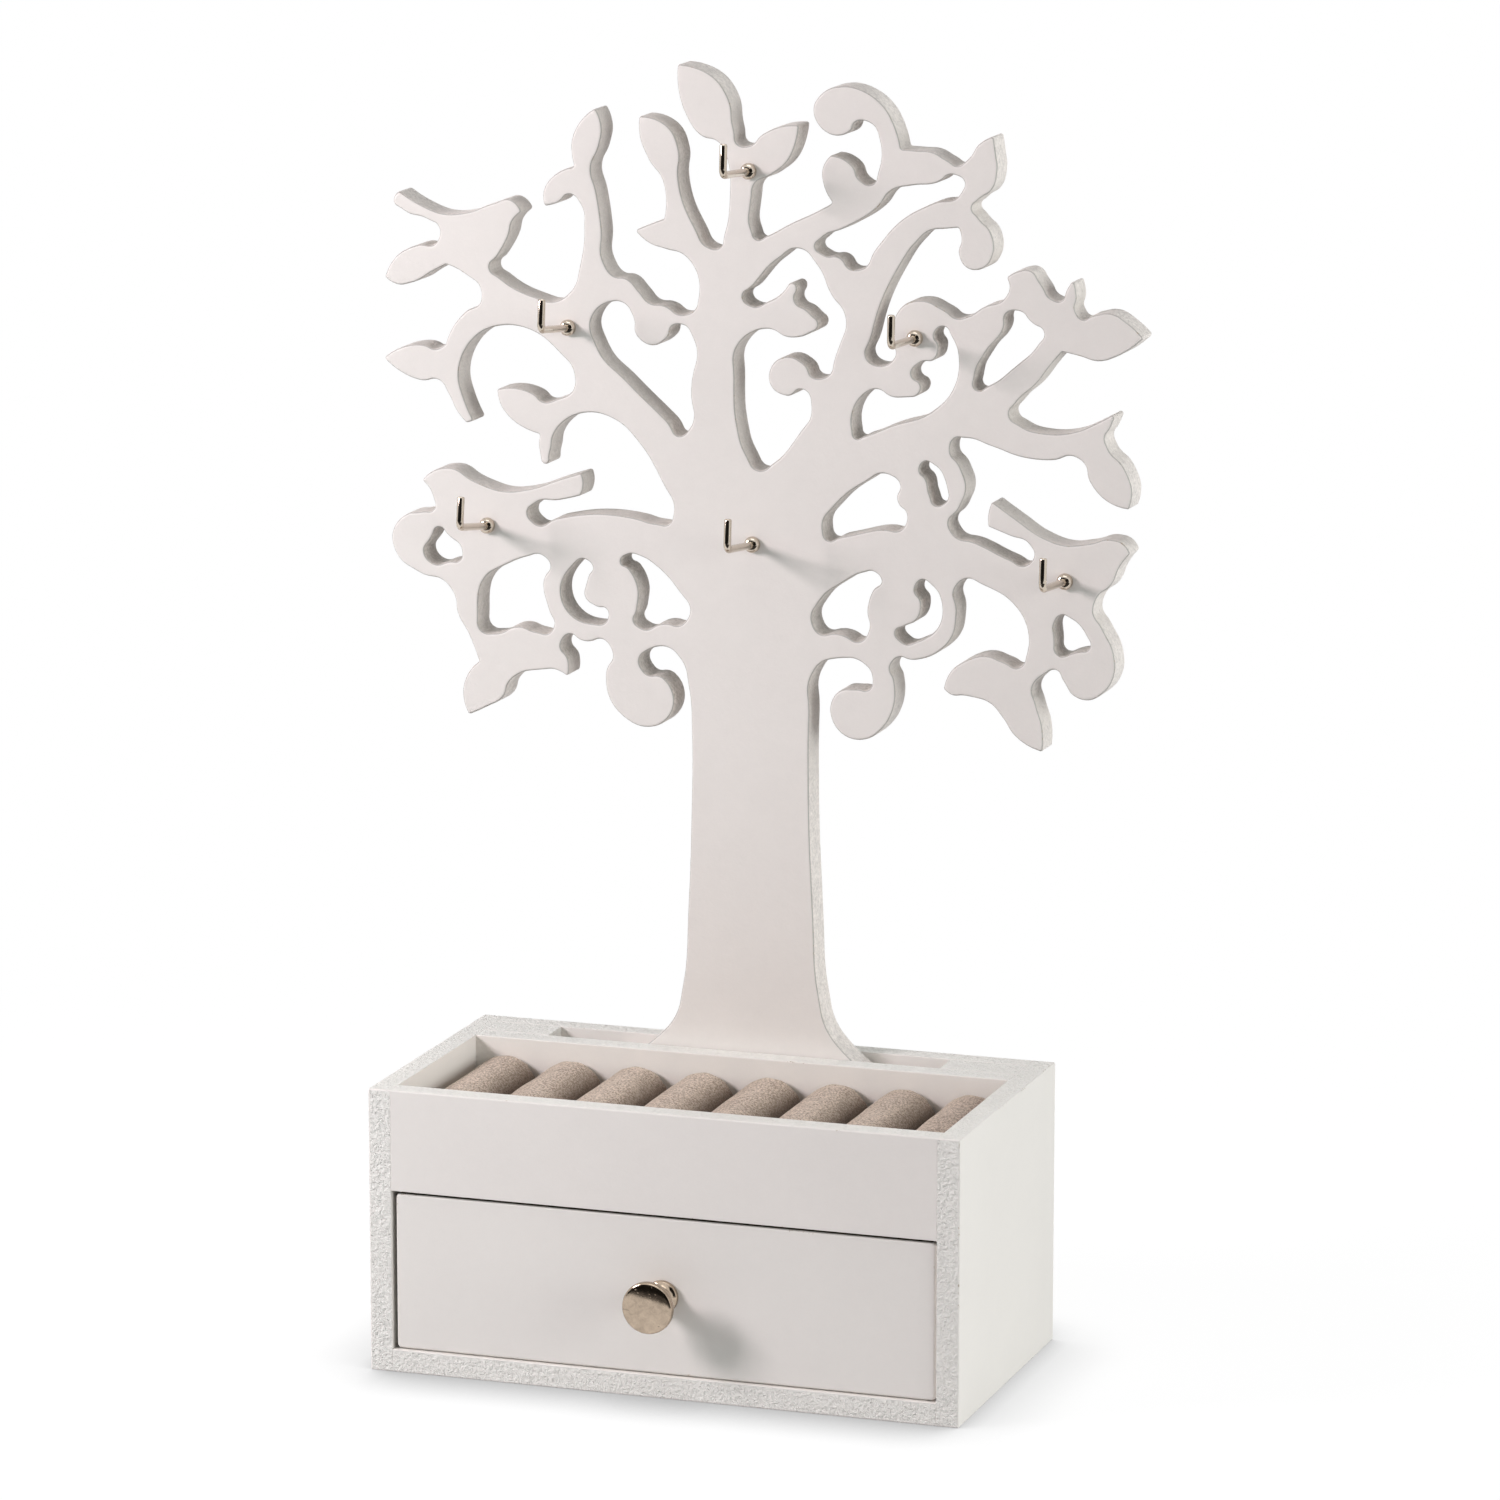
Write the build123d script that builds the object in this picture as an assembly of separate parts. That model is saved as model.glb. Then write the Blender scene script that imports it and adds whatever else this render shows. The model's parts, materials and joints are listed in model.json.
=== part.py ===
"""A painted jewelry tree: a fretwork board that stands in a box with a ring tray and a drawer.

Millimetres and degrees. X runs to the right, Y to the back and Z up.
The origin is the middle of the box's underside.
"""
import os
from math import sqrt

from build123d import *

# Box, all of painted board
box_width = 210.0
box_depth = 110.0
box_height = 99.0
board = 8.0
tray_depth = 29.3
tray_board = 6.0
slot_left = 73.0
slot_right = 70.0

# Tree, sawn from one thicker board
tree_height = 341.0
tree_board = 12.0
foot_clearance = 0.5
foot_shoulder_drop = 12.0
straight_angle = 0.5
corner_round = 0.9

# Screw-in hooks
hook_wire = 2.6
hook_reach = 25.5
hook_rise = 10.5
hook_bend = 2.2
collar_diameter = 5.6
collar_thickness = 2.6
collar_rim = 1.0
hook_screw_length = 8.0
hook_hole_clearance = 0.1
hook_tilt_angles = {
    "top": 4.0, "left_upper": 6.5, "right_upper": 2.5, "left_lower": 8.5, "center": 6.0, "right_lower": 4.5,
}

# Ring tray
roll_count = 8
roll_gap = 0.55
roll_end_clearance = 0.3
roll_end_round = 2.0

# Drawer
drawer_gap = 0.9
drawer_shift = 0.4
drawer_lift = 0.3
drawer_recess = 1.0
drawer_board = 6.0
drawer_rear_gap = 3.0
drawer_side_drop = 7.0
drawer_bottom_thickness = 3.0
groove_depth = 3.0
groove_height = 4.0
groove_clearance = 0.15
liner_thickness = 1.5
liner_clearance = 0.5
front_edge_round = 1.0
front_corner_round = 1.6

# Knob and its screw
knob_diameter = 18.0
knob_thickness = 3.4
knob_crown = 1.2
knob_edge_round = 0.8
knob_projection = 17.0
knob_neck_diameter = 7.0
knob_base_diameter = 11.0
knob_base_thickness = 2.4
knob_neck_flare = 3.0
knob_screw_diameter = 4.0
knob_screw_grip = 9.0
knob_screw_head_diameter = 8.0
knob_screw_head_height = 2.6
knob_bore_clearance = 0.1

# One overrun serves all cuts
overrun = 1.0

# Planes and edges that several pieces share
side_inner = box_width / 2 - board
front_plane = -box_depth / 2
back_plane = box_depth / 2
fascia_rear = front_plane + board
back_panel_front = back_plane - board
slot_front = back_panel_front - tree_board - 2 * foot_clearance
tray_rear = slot_front - board
tray_floor_top = box_height - tray_depth
opening_top = tray_floor_top - tray_board
tree_front = slot_front + foot_clearance

# The fretwork outline, in hundredths of tree_height: x from the box's middle, z up from the deck.
# Each list is a smooth run that starts at a corner and ends where the next list starts.
# The loop climbs the right side, crosses the crown and comes down the left side.
lower_right_curl_shares = [
    [(11.1, 0), (8.4, 3.2), (7.6, 6.5), (7.0, 15), (6.55, 27), (6.6, 35), (6.85, 39.3),
     (7.7, 40.5), (9.6, 41.15), (11.9, 41.0), (13.1, 39.7), (12.8, 38.2), (11.5, 38.15), (9.8, 37.9),
     (8.75, 36.3), (9.1, 34.5), (10.5, 33.2), (12.5, 33.1), (14.4, 34.5), (15.5, 36.8), (15.5, 39.2),
     (15.05, 40.7), (15.6, 41.5), (17.6, 41.5), (19.8, 42.3), (21.5, 44.1), (21.95, 46.5), (21.8, 49.1),
     (22.6, 49.9), (25, 49.35), (27.4, 48.1), (29, 46), (29.25, 43.2), (28.3, 41.4), (26.8, 41.9),
     (25, 42.4), (22.8, 41.75), (21.2, 40.4)],
]
lower_right_leaf_shares = [
    [(20.6, 38.8), (21.2, 38.3), (23, 38.2), (25.6, 37.5), (26.7, 36.3), (28, 34.5)],
    [(30.9, 33.05), (30.9, 35.4), (30.2, 37.8), (29.8, 39.4), (31, 40.9), (32.2, 41.4), (33, 40.3),
     (34, 38.95), (35.3, 38.55), (37.1, 39.4), (38.2, 41.2), (38.1, 43.6), (37, 45.8), (36, 47.6),
     (36.3, 48.8), (37.9, 50.4), (38.7, 52.2)],
]
lower_right_bird_shares = [
    [(39.7, 53.5), (38.9, 54.55), (37.6, 54.85), (35.5, 54.3), (33, 54.0), (30.5, 54.75), (28, 56.3)],
    [(25.5, 57.95), (25.1, 56.7)],
    [(25.1, 55.4), (27.2, 54.65), (29.3, 53.9), (29.85, 52.8), (29, 51.75), (27.2, 52.3), (24, 53.65),
     (21.5, 54.45), (21.05, 55.3), (22.2, 57.2), (22.85, 59.1), (22.2, 61.2), (21.15, 62.8),
     (21.5, 63.9), (22.9, 64.1), (25.5, 63.4), (28.5, 62.5), (31.5, 62.35), (34, 62.8), (34.8, 62.3),
     (35.5, 60.4), (37.2, 58.6)],
]
right_leaf_shares = [
    [(39.5, 57.9), (39.85, 59.5), (39, 62), (37.3, 63.9), (37, 64.8), (37.6, 66)],
    [(38.2, 67.5), (36.2, 66.35), (34, 65.35), (31, 65.0), (28.6, 65.5), (27.2, 66.7), (28, 68),
     (30, 69.9), (31.6, 72)],
    [(32.6, 73.15), (34.2, 72.85), (36.2, 72.4), (38.5, 73.15)],
]
upper_right_bird_shares = [
    [(40.8, 74.9), (39.5, 76.1), (37.4, 77.2), (35.8, 76.95), (34.5, 76.5), (33.9, 77.2), (34, 78.8)],
    [(33.6, 80.4), (33.0, 79.4), (32.3, 78.15), (31.4, 78.35), (30.4, 79.7), (29.2, 81.05), (27.8, 80.85)],
    [(26.8, 80.2), (27.1, 79.2), (26.6, 78.15), (24.5, 77.2), (23, 76.25), (21.9, 75.95), (20.4, 76.75),
     (18.4, 77.55), (16.4, 77.1), (15.3, 75.6), (15.25, 73.5), (15.3, 71.7), (14.2, 70.9), (12.9, 71.1),
     (13.2, 74.5), (14.1, 77.4), (15.6, 80.4), (17.4, 83.1), (19, 84.5), (20.6, 84.75)],
]
right_lobe_shares = [
    [(21.9, 84.9), (22.15, 83.9), (21.9, 82.3), (22.7, 81), (24.4, 81), (25.5, 82.6), (25.2, 84.6),
     (23.9, 86), (23.25, 86.9), (24, 87.8), (25.3, 88.8), (25.85, 90.8), (25.65, 92.5)],
    [(25.4, 94.05), (24, 93.3), (22.8, 91.7), (21.8, 91.0), (20.6, 91.55), (19.2, 92.25), (17.5, 92.35)],
]
crown_curl_shares = [
    [(15.95, 92.4), (15.4, 94.4), (14.2, 96.5), (12.3, 97.9), (10, 98.4), (7.9, 97.7), (6.85, 96.1),
     (7.5, 94.3), (9.2, 93.45), (10.5, 93.8), (11.5, 95.0), (12.8, 94.8), (13.8, 92.8), (13.7, 90.5),
     (12.7, 88.75), (11.7, 89.2), (10.9, 90.6)],
    [(8.7, 91.5), (7.85, 90.3), (8, 88.3)],
    [(8.9, 86.8), (7.3, 85.9), (4.6, 84.6), (2.2, 83.3), (1, 82.85), (0.4, 83.9), (0.45, 86.7),
     (0.8, 88.35), (2.5, 89.3), (4.2, 90.7), (5.1, 92.6)],
]
crown_leaf_shares = [
    [(5.4, 94.35), (3.6, 94.2), (1.6, 93.3), (0.2, 92.1), (-0.8, 92.1), (-1.4, 93.8), (-1.9, 96.6),
     (-3.4, 98.7), (-5.2, 99.6)],
    [(-7.25, 99.9), (-7.3, 98), (-6.6, 95.3), (-5, 93), (-2.9, 92.2), (-1.95, 90), (-1.85, 87),
     (-2.3, 83.6), (-3.2, 81.7), (-4.2, 81.9), (-5.5, 83.8), (-6.8, 86.6), (-7.2, 88.8), (-7.1, 91.2),
     (-8.1, 93.5), (-9.6, 94.4)],
    [(-11.3, 94.6), (-11.35, 92.9), (-10.4, 90.4), (-8.9, 88.3), (-8.55, 86)],
    [(-8.75, 84.45), (-10.2, 83.9)],
    [(-11.8, 83.2), (-10.3, 81.95), (-8.6, 81.45), (-6.8, 81), (-5.4, 79.4), (-5.1, 77), (-5.7, 75.35),
     (-7, 74.95), (-8.6, 75.75), (-10.4, 76.05), (-11.3, 77), (-12.5, 78.2), (-14.3, 78.65),
     (-15.15, 79.9), (-15.3, 83.2), (-15.8, 86.6), (-16.4, 89.4), (-15.6, 91.3), (-15.25, 93.2)],
]
tall_leaf_shares = [
    [(-15.95, 95.2), (-17.6, 93.8), (-18.5, 91.8), (-18.45, 90.2)],
    [(-18.2, 89.25), (-20.2, 88.45), (-21.5, 86.7)],
    [(-21.4, 85.2), (-20.2, 85.5), (-18.5, 86.45), (-17.5, 85.4), (-17.2, 82.8), (-17.6, 79.7),
     (-18.6, 76.8), (-20, 75.75), (-23, 76.15), (-26, 77.6), (-27.3, 78.8), (-26.4, 80), (-25.3, 81.9),
     (-24.7, 83.7)],
]
upper_left_bird_shares = [
    [(-23.85, 84.5), (-24.9, 85.65), (-27, 85.2), (-29.5, 84.25), (-32.3, 84.0), (-34.6, 84.75)],
    [(-36.9, 86.05), (-37.6, 85.2), (-36.4, 84.05), (-34, 83.35), (-32.75, 82.6), (-33, 81.05),
     (-35.2, 80.65), (-37.3, 79.5)],
    [(-38.6, 77.3), (-37.4, 76.6), (-35.5, 76.9), (-33.2, 78.2)],
    [(-31.95, 78.85), (-30, 78), (-28.3, 76.5), (-28.3, 75.3), (-30, 74.1), (-31.3, 72.6)],
]
left_arch_shares = [
    [(-32.1, 70.8), (-33, 70.25), (-34.6, 70.6), (-36.8, 70.25)],
    [(-38.8, 69.05), (-37.2, 67.8), (-35, 66.95), (-32.7, 66.95), (-31.8, 65.6), (-30.9, 63.9)],
    [(-29.95, 62.85)],
    [(-29.1, 63.1), (-30.1, 65.2), (-30.7, 67.6), (-30, 70.2), (-28.3, 72.1), (-25.4, 73.0), (-22.4, 72.4),
     (-20, 70.6), (-18.4, 68.7), (-18.5, 66.75), (-20.2, 65.75), (-21.5, 65.4), (-22.8, 66.25),
     (-24.7, 66.7)],
    [(-26.6, 66.45), (-26.3, 65), (-25, 63.4), (-23.4, 62.5)],
    [(-22, 62.1), (-22.1, 60.4), (-21.4, 59.1), (-20.9, 60.4), (-20.5, 62.2), (-18.9, 63.9), (-16.5, 64.6),
     (-13.8, 63.9), (-11.2, 61.5), (-9.2, 58.3), (-7.8, 54.9), (-8.2, 53.8), (-9.8, 53.7), (-12, 54.15),
     (-16, 54.35), (-20, 53.7), (-22.6, 52.95), (-23.4, 54), (-22.4, 55.15), (-20, 55.5)],
]
lower_left_bird_shares = [
    [(-17.7, 56.1), (-17.35, 57.2)],
    [(-17.6, 58.4), (-20, 57.6), (-23, 56.5), (-26, 56.1), (-29, 56.9), (-31.7, 58.15), (-33.5, 57.8)],
    [(-34.8, 56.7), (-33.7, 55.3), (-33.6, 53.75), (-34.8, 53.5), (-36.5, 53.15), (-38.1, 51.1),
     (-37.6, 48.9), (-35.2, 47.2), (-32.3, 46.3), (-31.35, 45), (-31.1, 43.4), (-29.8, 41)],
]
lower_left_leaf_shares = [
    [(-28.75, 38.4), (-30.1, 36.9), (-30.55, 34.7)],
    [(-29.9, 32.85), (-28, 33.75), (-26.2, 34.85), (-25.4, 36.6), (-24.4, 37.4), (-22.2, 37.95),
     (-20.4, 38.05)],
    [(-19.15, 37.4), (-19.05, 39), (-19.9, 40.8), (-19.2, 41.75), (-17.4, 41.2), (-15.1, 41.35),
     (-14.4, 40.3), (-15.1, 38), (-14.8, 35.7), (-13.2, 33.7), (-11, 32.8), (-8.8, 33.5), (-7.75, 35.7),
     (-8.8, 37.9), (-11, 38.5), (-11.5, 39.5), (-10.2, 40.9), (-8.4, 41.1), (-7, 39.9), (-6.2, 37),
     (-5.9, 32), (-5.95, 25), (-6.3, 15), (-6.9, 6.5), (-7.7, 3.2), (-10.6, 0)],
]

# Closed windows between the limbs, one smooth loop each, in the same shares
window_shares = {
    "left lobe": [(-33, 52.0), (-32, 51.2), (-30.6, 49.9), (-30.7, 48.8), (-32, 48.5), (-33.3, 48.15),
                  (-34.6, 49.3), (-33.8, 50.9)],
    "left ring side": [(-22.1, 49.8), (-21.2, 49.2), (-21.8, 46.8), (-21.2, 44.2), (-20.65, 42.6),
                       (-21.1, 41.85), (-22.6, 41.85), (-24.3, 42.3), (-27, 41.4), (-28.2, 41.45), (-28.8, 44),
                       (-28.1, 47), (-25.6, 48.65), (-23.6, 49.5)],
    "left crescent": [(-17.1, 49.55), (-16.5, 49), (-17, 47.7), (-17.15, 45.5), (-16.2, 44.9),
                      (-14.9, 44.5), (-14.9, 43.6), (-17, 43.1), (-19.1, 44.2), (-19.85, 46.2),
                      (-19, 48.4)],
    "left of trunk": [(-12.6, 50.4), (-13.4, 49.7), (-12.4, 48.8), (-11.55, 47), (-11.7, 44.8),
                      (-12, 43.5), (-11.2, 42.9), (-8.9, 43.55), (-6.9, 43.6), (-6.2, 44.5), (-7.7, 47.5),
                      (-9.5, 49.25), (-11.1, 50.2)],
    "right of trunk": [(13.3, 50.15), (14.05, 49.4), (13.1, 48.1), (12.6, 46.3), (12.8, 44.3),
                       (12.2, 43.2), (9.6, 43.65), (7.4, 43.7), (6.85, 44.7), (7.9, 47.2), (10.1, 48.9),
                       (12, 49.95)],
    "right crescent": [(18.1, 49.55), (17.6, 48.8), (18.25, 47.2), (17.8, 45.6), (16.5, 44.85),
                       (15.6, 44.3), (16.3, 43.2), (18.3, 43.6), (20, 45), (20.4, 47), (19.6, 48.9)],
    "right lobe": [(32.5, 46.85), (34, 46.5), (35.2, 45.2), (35.65, 43.9), (34.2, 43.35), (32.4, 43.0),
                   (32.05, 44.6), (32.05, 46.2)],
    "right wedge": [(8.3, 53.15), (7.95, 54.3), (9.6, 57), (12, 58.9), (14.6, 60.05), (15.85, 59.3),
                    (15.7, 57.4), (16.7, 56), (16.5, 55), (13.5, 54.4), (10, 53.5)],
    "bud slit": [(18.4, 61.45), (19.7, 61.1), (20.7, 59.5), (20.7, 57.6), (19.7, 57.2), (19.05, 58.3),
                 (18.7, 59.7), (18, 60.7)],
    "bird breast": [(23.8, 69.0), (25.2, 69.5), (27.8, 71.5), (29.9, 73.5), (30.65, 75), (29.4, 75.9),
                    (28.2, 76.95), (27, 76.8), (26.5, 75), (24.8, 72.8), (23.7, 70.6)],
    "branch fork": [(7.1, 82.4), (7.8, 83.3), (10.2, 84.4), (13.4, 86.4), (15.2, 88.4), (17, 88.85),
                    (19.5, 89.2), (21.4, 90.1), (22.4, 89.5), (22, 88.2), (19.2, 87.2), (16, 85.4),
                    (13.4, 82.5), (11.9, 80.4), (10.9, 80.3), (9.6, 81.45), (8, 81.6)],
    "centre": [(5.5, 82.1), (3, 80.8), (0.8, 78.4), (-0.4, 76.8), (0.6, 76.15), (2.4, 76.8), (5.2, 78.3),
               (4.95, 77), (6.5, 75.8), (7.45, 74.6), (6.3, 73.6), (4.6, 73.2), (2, 73.95), (0, 73.2),
               (-1.05, 72), (-1.3, 68.5), (-1.1, 64.5), (-0.2, 61.4), (1.2, 59.7), (3, 60.7), (5.2, 63.3),
               (6.7, 66), (6, 68), (4, 67.35), (2.5, 68.2), (2.5, 70.2), (4.3, 71.3), (6, 70.6),
               (7, 69.3), (8.3, 69.5), (9.2, 71.6), (10.05, 76), (8.8, 77.6), (7.4, 80.4)],
    "left fork": [(-6.9, 62.75), (-6.05, 63.6), (-5.95, 67.5), (-5.65, 72.5), (-6.7, 73.9), (-7.8, 73.8),
                  (-8.4, 72.6), (-10, 71.7), (-11.6, 72.5), (-12.1, 74.6), (-12.8, 75.65), (-15.2, 75.55),
                  (-16.45, 74), (-15.7, 71), (-12.5, 67.8), (-8.6, 64.3)],
    "right fork": [(11.3, 63.5), (11, 64.4), (12.1, 67.8), (13, 68.4), (15.7, 67.75), (18.1, 68.7),
                   (17.15, 70.5), (17.9, 71.3), (19.6, 71.9), (19.9, 73), (19.45, 74.3), (20.2, 75.05),
                   (21.4, 73.8), (21.95, 71), (21.1, 68.4), (19, 66.4), (15, 64.9), (12.4, 63.8)],
}

# Where the hook collars sit on the tree's face, in the same shares
hook_place_shares = {
    "top": (0.2, 89.6),
    "left_upper": (-18.9, 73.1),
    "right_upper": (17.5, 73.8),
    "left_lower": (-27.7, 52.5),
    "center": (0.6, 52.2),
    "right_lower": (33.1, 50.4),
}


def block(low_x, high_x, low_y, high_y, low_z, high_z):
    """A square-edged board between two corners."""
    corner = Pos(low_x, low_y, low_z)
    return corner * Box(high_x - low_x, high_y - low_y, high_z - low_z, align=(Align.MIN,) * 3)


def on_sheet(share):
    """A point of the fretwork outline, in millimetres from the deck's middle."""
    return Vector(share[0], share[1]) * (tree_height / 100)


def side_panel(side):
    """One full-height side board; side is -1 on the left and 1 on the right."""
    inner, outer = sorted((side * side_inner, side * box_width / 2))
    return block(inner, outer, front_plane, back_plane, 0, box_height)


def slot_block(low_x, high_x):
    """A filler between the tray's rear wall and the back panel that ends the tree's slot."""
    return block(low_x, high_x, slot_front, back_panel_front, tray_floor_top, box_height)


def travel(before, here, after):
    """The direction, at the middle one, of the circle through three points."""
    arriving = here - before
    leaving = after - here
    return (arriving.normalized() * leaving.length + leaving.normalized() * arriving.length).normalized()


def across(chord, direction):
    """A circle's direction at one end of a chord, from its direction at the other end."""
    along = chord.normalized()
    return along * (2 * along.dot(direction)) - direction


def arc_from(start, end, direction):
    """The arc that leaves start in a direction, or a line where it would hardly bend."""
    if (end - start).get_angle(direction) < straight_angle:
        return Line(start, end)
    return TangentArc(start, end, tangent=direction)


def arc_pairs(points, directions):
    """Two arcs between each point and the next, which meet smoothly there and halfway."""
    edges = []
    for start, end, leaving, arriving in zip(points, points[1:], directions, directions[1:]):
        chord = end - start
        ahead = chord.dot(leaving + arriving)
        spread = 2 * (1 - leaving.dot(arriving))
        reach = chord.dot(chord) / (ahead + sqrt(ahead * ahead + spread * chord.dot(chord)))
        halfway = (start + end + (leaving - arriving) * reach) / 2
        edges.append(arc_from(start, halfway, leaving))
        edges.append(arc_from(end, halfway, -arriving))
    return edges


def smooth_run(points):
    """A smooth run of arcs from a corner to the next corner, or a line between just two points."""
    if len(points) == 2:
        return [Line(*points)]
    directions = [travel(*three) for three in zip(points, points[1:], points[2:])]
    first = across(points[1] - points[0], directions[0])
    last = across(points[-1] - points[-2], directions[-1])
    return arc_pairs(points, [first, *directions, last])


def smooth_loop(points):
    """A closed loop of arcs with no corner."""
    following = points[1:] + points[:1]
    directions = [travel(*three) for three in zip(points[-1:] + points, points, following)]
    return arc_pairs(points + points[:1], directions + directions[:1])


def tree_runs():
    """The smooth runs round the tree from its right root to its left root, in millimetres."""
    stretches = (
        lower_right_curl_shares, lower_right_leaf_shares, lower_right_bird_shares, right_leaf_shares,
        upper_right_bird_shares, right_lobe_shares, crown_curl_shares, crown_leaf_shares,
        tall_leaf_shares, upper_left_bird_shares, left_arch_shares, lower_left_bird_shares,
        lower_left_leaf_shares,
    )
    return [[on_sheet(share) for share in run] for stretch in stretches for run in stretch]


def tree_outline():
    """The sawn outline with sanded corners, closed by the foot that stands in the slot."""
    foot_bottom = tray_floor_top - box_height
    foot_left = foot_clearance - slot_left
    foot_right = slot_right - foot_clearance
    left_shoulder = Vector(foot_left, -foot_shoulder_drop)
    right_shoulder = Vector(foot_right, -foot_shoulder_drop)
    runs = tree_runs()
    runs[0].insert(0, right_shoulder)
    corners = [run[0] for run in runs[1:]]
    ends = corners + [left_shoulder]
    edges = [edge for run, end in zip(runs, ends) for edge in smooth_run(run + [end])]
    foot = Polyline(left_shoulder, (foot_left, foot_bottom), (foot_right, foot_bottom), right_shoulder)
    sawn = Wire(edges + foot.edges())
    places = sawn.vertices()
    sharp = [min(places, key=lambda place: (Vector(place) - corner).length) for corner in corners]
    return sawn.fillet_2d(corner_round, sharp)


def tree_panel():
    """The fretwork board with its windows and the pilot holes for the hooks."""
    windows = [Wire(smooth_loop([on_sheet(share) for share in loop])) for loop in window_shares.values()]
    panel = extrude(Face(tree_outline(), windows), -tree_board)
    hole = Cylinder(hook_wire / 2 + hook_hole_clearance, hook_screw_length + hook_hole_clearance,
                    align=(Align.CENTER, Align.CENTER, Align.MAX))
    panel -= [Pos(on_sheet(place)) * hole for place in hook_place_shares.values()]
    return Pos(0, tree_front, box_height) * Rot(90, 0, 0) * panel


def hook(name):
    """An L hook: a screw in the board, a domed collar on its face and a tilted wire with an upturned end."""
    screw = Cylinder(hook_wire / 2, hook_screw_length + collar_thickness / 2,
                     align=(Align.CENTER, Align.CENTER, Align.MIN))
    screw = Pos(0, 0, -hook_screw_length) * screw
    collar = Cylinder(collar_diameter / 2, collar_thickness, align=(Align.CENTER, Align.CENTER, Align.MIN))
    collar = fillet(collar.edges().sort_by(Axis.Z)[-1], collar_thickness - collar_rim)
    route = FilletPolyline((0, 0, 0), (0, 0, hook_reach), (0, hook_rise, hook_reach), radius=hook_bend)
    wire = sweep(Circle(hook_wire / 2), path=route)
    wire = fillet(wire.edges().sort_by(Axis.Y)[-1], hook_wire / 4)
    wire = Pos(0, 0, collar_thickness / 2) * Rot(-hook_tilt_angles[name], 0, 0) * wire
    seat = on_sheet(hook_place_shares[name])
    return Pos(seat.X, tree_front, box_height + seat.Y) * Rot(90, 0, 0) * (screw + collar + wire)


def ring_roll(index):
    """One fabric-covered foam roll, lying front to back on the tray floor."""
    pitch = 2 * side_inner / roll_count
    radius = (pitch - roll_gap) / 2
    roll = Cylinder(radius, tray_rear - fascia_rear - 2 * roll_end_clearance)
    roll = fillet(roll.edges().filter_by(GeomType.CIRCLE), roll_end_round)
    center_x = pitch * (index + 1 / 2) - side_inner
    return Pos(center_x, (fascia_rear + tray_rear) / 2, tray_floor_top + radius) * Rot(90, 0, 0) * roll


# Drawer planes and edges
drawer_half = side_inner - drawer_gap
drawer_under = board + drawer_lift
drawer_top = opening_top - drawer_gap
drawer_face = front_plane + drawer_recess
drawer_front_rear = drawer_face + board
drawer_rear = back_panel_front - drawer_rear_gap
drawer_inner = drawer_half - drawer_board
drawer_side_top = drawer_top - drawer_side_drop
drawer_back_front = drawer_rear - drawer_board
groove_under = drawer_under + groove_height
knob_height = (drawer_under + drawer_top) / 2


def bottom_groove():
    """The space that the drawer bottom takes, with its clearance, to cut from the boards around it."""
    reach = groove_depth + groove_clearance
    return block(
        -drawer_inner - reach, drawer_inner + reach, drawer_front_rear - reach, drawer_back_front + reach,
        groove_under - groove_clearance, groove_under + drawer_bottom_thickness + groove_clearance,
    )


def drawer_front():
    """The inset front with eased edges, a groove for the bottom and a hole for the knob's screw."""
    front = block(-drawer_half, drawer_half, drawer_face, drawer_front_rear, drawer_under, drawer_top)
    front = fillet(front.edges().filter_by(Axis.Y), front_corner_round)
    front = fillet(front.faces().sort_by(Axis.Y)[0].edges(), front_edge_round)
    hole = Cylinder(knob_screw_diameter / 2 + knob_bore_clearance, board + 2 * overrun)
    hole = Pos(0, (drawer_face + drawer_front_rear) / 2, knob_height) * Rot(90, 0, 0) * hole
    return front - hole - bottom_groove()


def drawer_side(side):
    """One drawer side; side is -1 on the left and 1 on the right."""
    low, high = sorted((side * drawer_inner, side * drawer_half))
    return block(low, high, drawer_front_rear, drawer_rear, drawer_under, drawer_side_top) - bottom_groove()


def drawer_back():
    """The drawer's back board, between its sides."""
    rear = block(-drawer_inner, drawer_inner, drawer_back_front, drawer_rear, drawer_under, drawer_side_top)
    return rear - bottom_groove()


def drawer_bottom():
    """The thin panel held in the grooves of the four boards."""
    return block(
        -drawer_inner - groove_depth, drawer_inner + groove_depth,
        drawer_front_rear - groove_depth, drawer_back_front + groove_depth,
        groove_under, groove_under + drawer_bottom_thickness,
    )


def drawer_liner():
    """The fabric pad on the drawer's floor."""
    reach = drawer_inner - liner_clearance
    floor = groove_under + drawer_bottom_thickness
    return block(-reach, reach, drawer_front_rear + liner_clearance, drawer_back_front - liner_clearance,
                 floor, floor + liner_thickness)


def knob_placed(turning):
    """Lays a piece that was turned about Z, with its foot at zero, along -Y on the drawer's face."""
    return Pos(0, drawer_face, knob_height) * Rot(90, 0, 0) * turning


def drawer_knob():
    """A turned metal knob: foot flange, waisted neck and a flat disc with a slight crown."""
    disc_back = knob_projection - knob_crown - knob_thickness
    disc_front = knob_projection - knob_crown
    base, neck, disc = knob_base_diameter / 2, knob_neck_diameter / 2, knob_diameter / 2
    outline = [
        Polyline((0, 0), (base, 0), (base, knob_base_thickness), (neck, knob_base_thickness + knob_neck_flare),
                 (neck, disc_back - knob_neck_flare), (disc - knob_neck_flare, disc_back), (disc, disc_back),
                 (disc, disc_front)),
        ThreePointArc((disc, disc_front), (disc / 2, disc_front + knob_crown * 3 / 4), (0, knob_projection)),
        Line((0, knob_projection), (0, 0)),
    ]
    knob = revolve(Rot(90, 0, 0) * make_face(outline), Axis.Z)
    rims = knob.edges().filter_by(lambda edge: edge.is_closed).sort_by(SortBy.LENGTH)[-2:]
    knob = fillet(rims, knob_edge_round)
    bore = Cylinder(knob_screw_diameter / 2 + knob_bore_clearance, 2 * (knob_screw_grip + overrun))
    return knob_placed(knob - bore)


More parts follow.
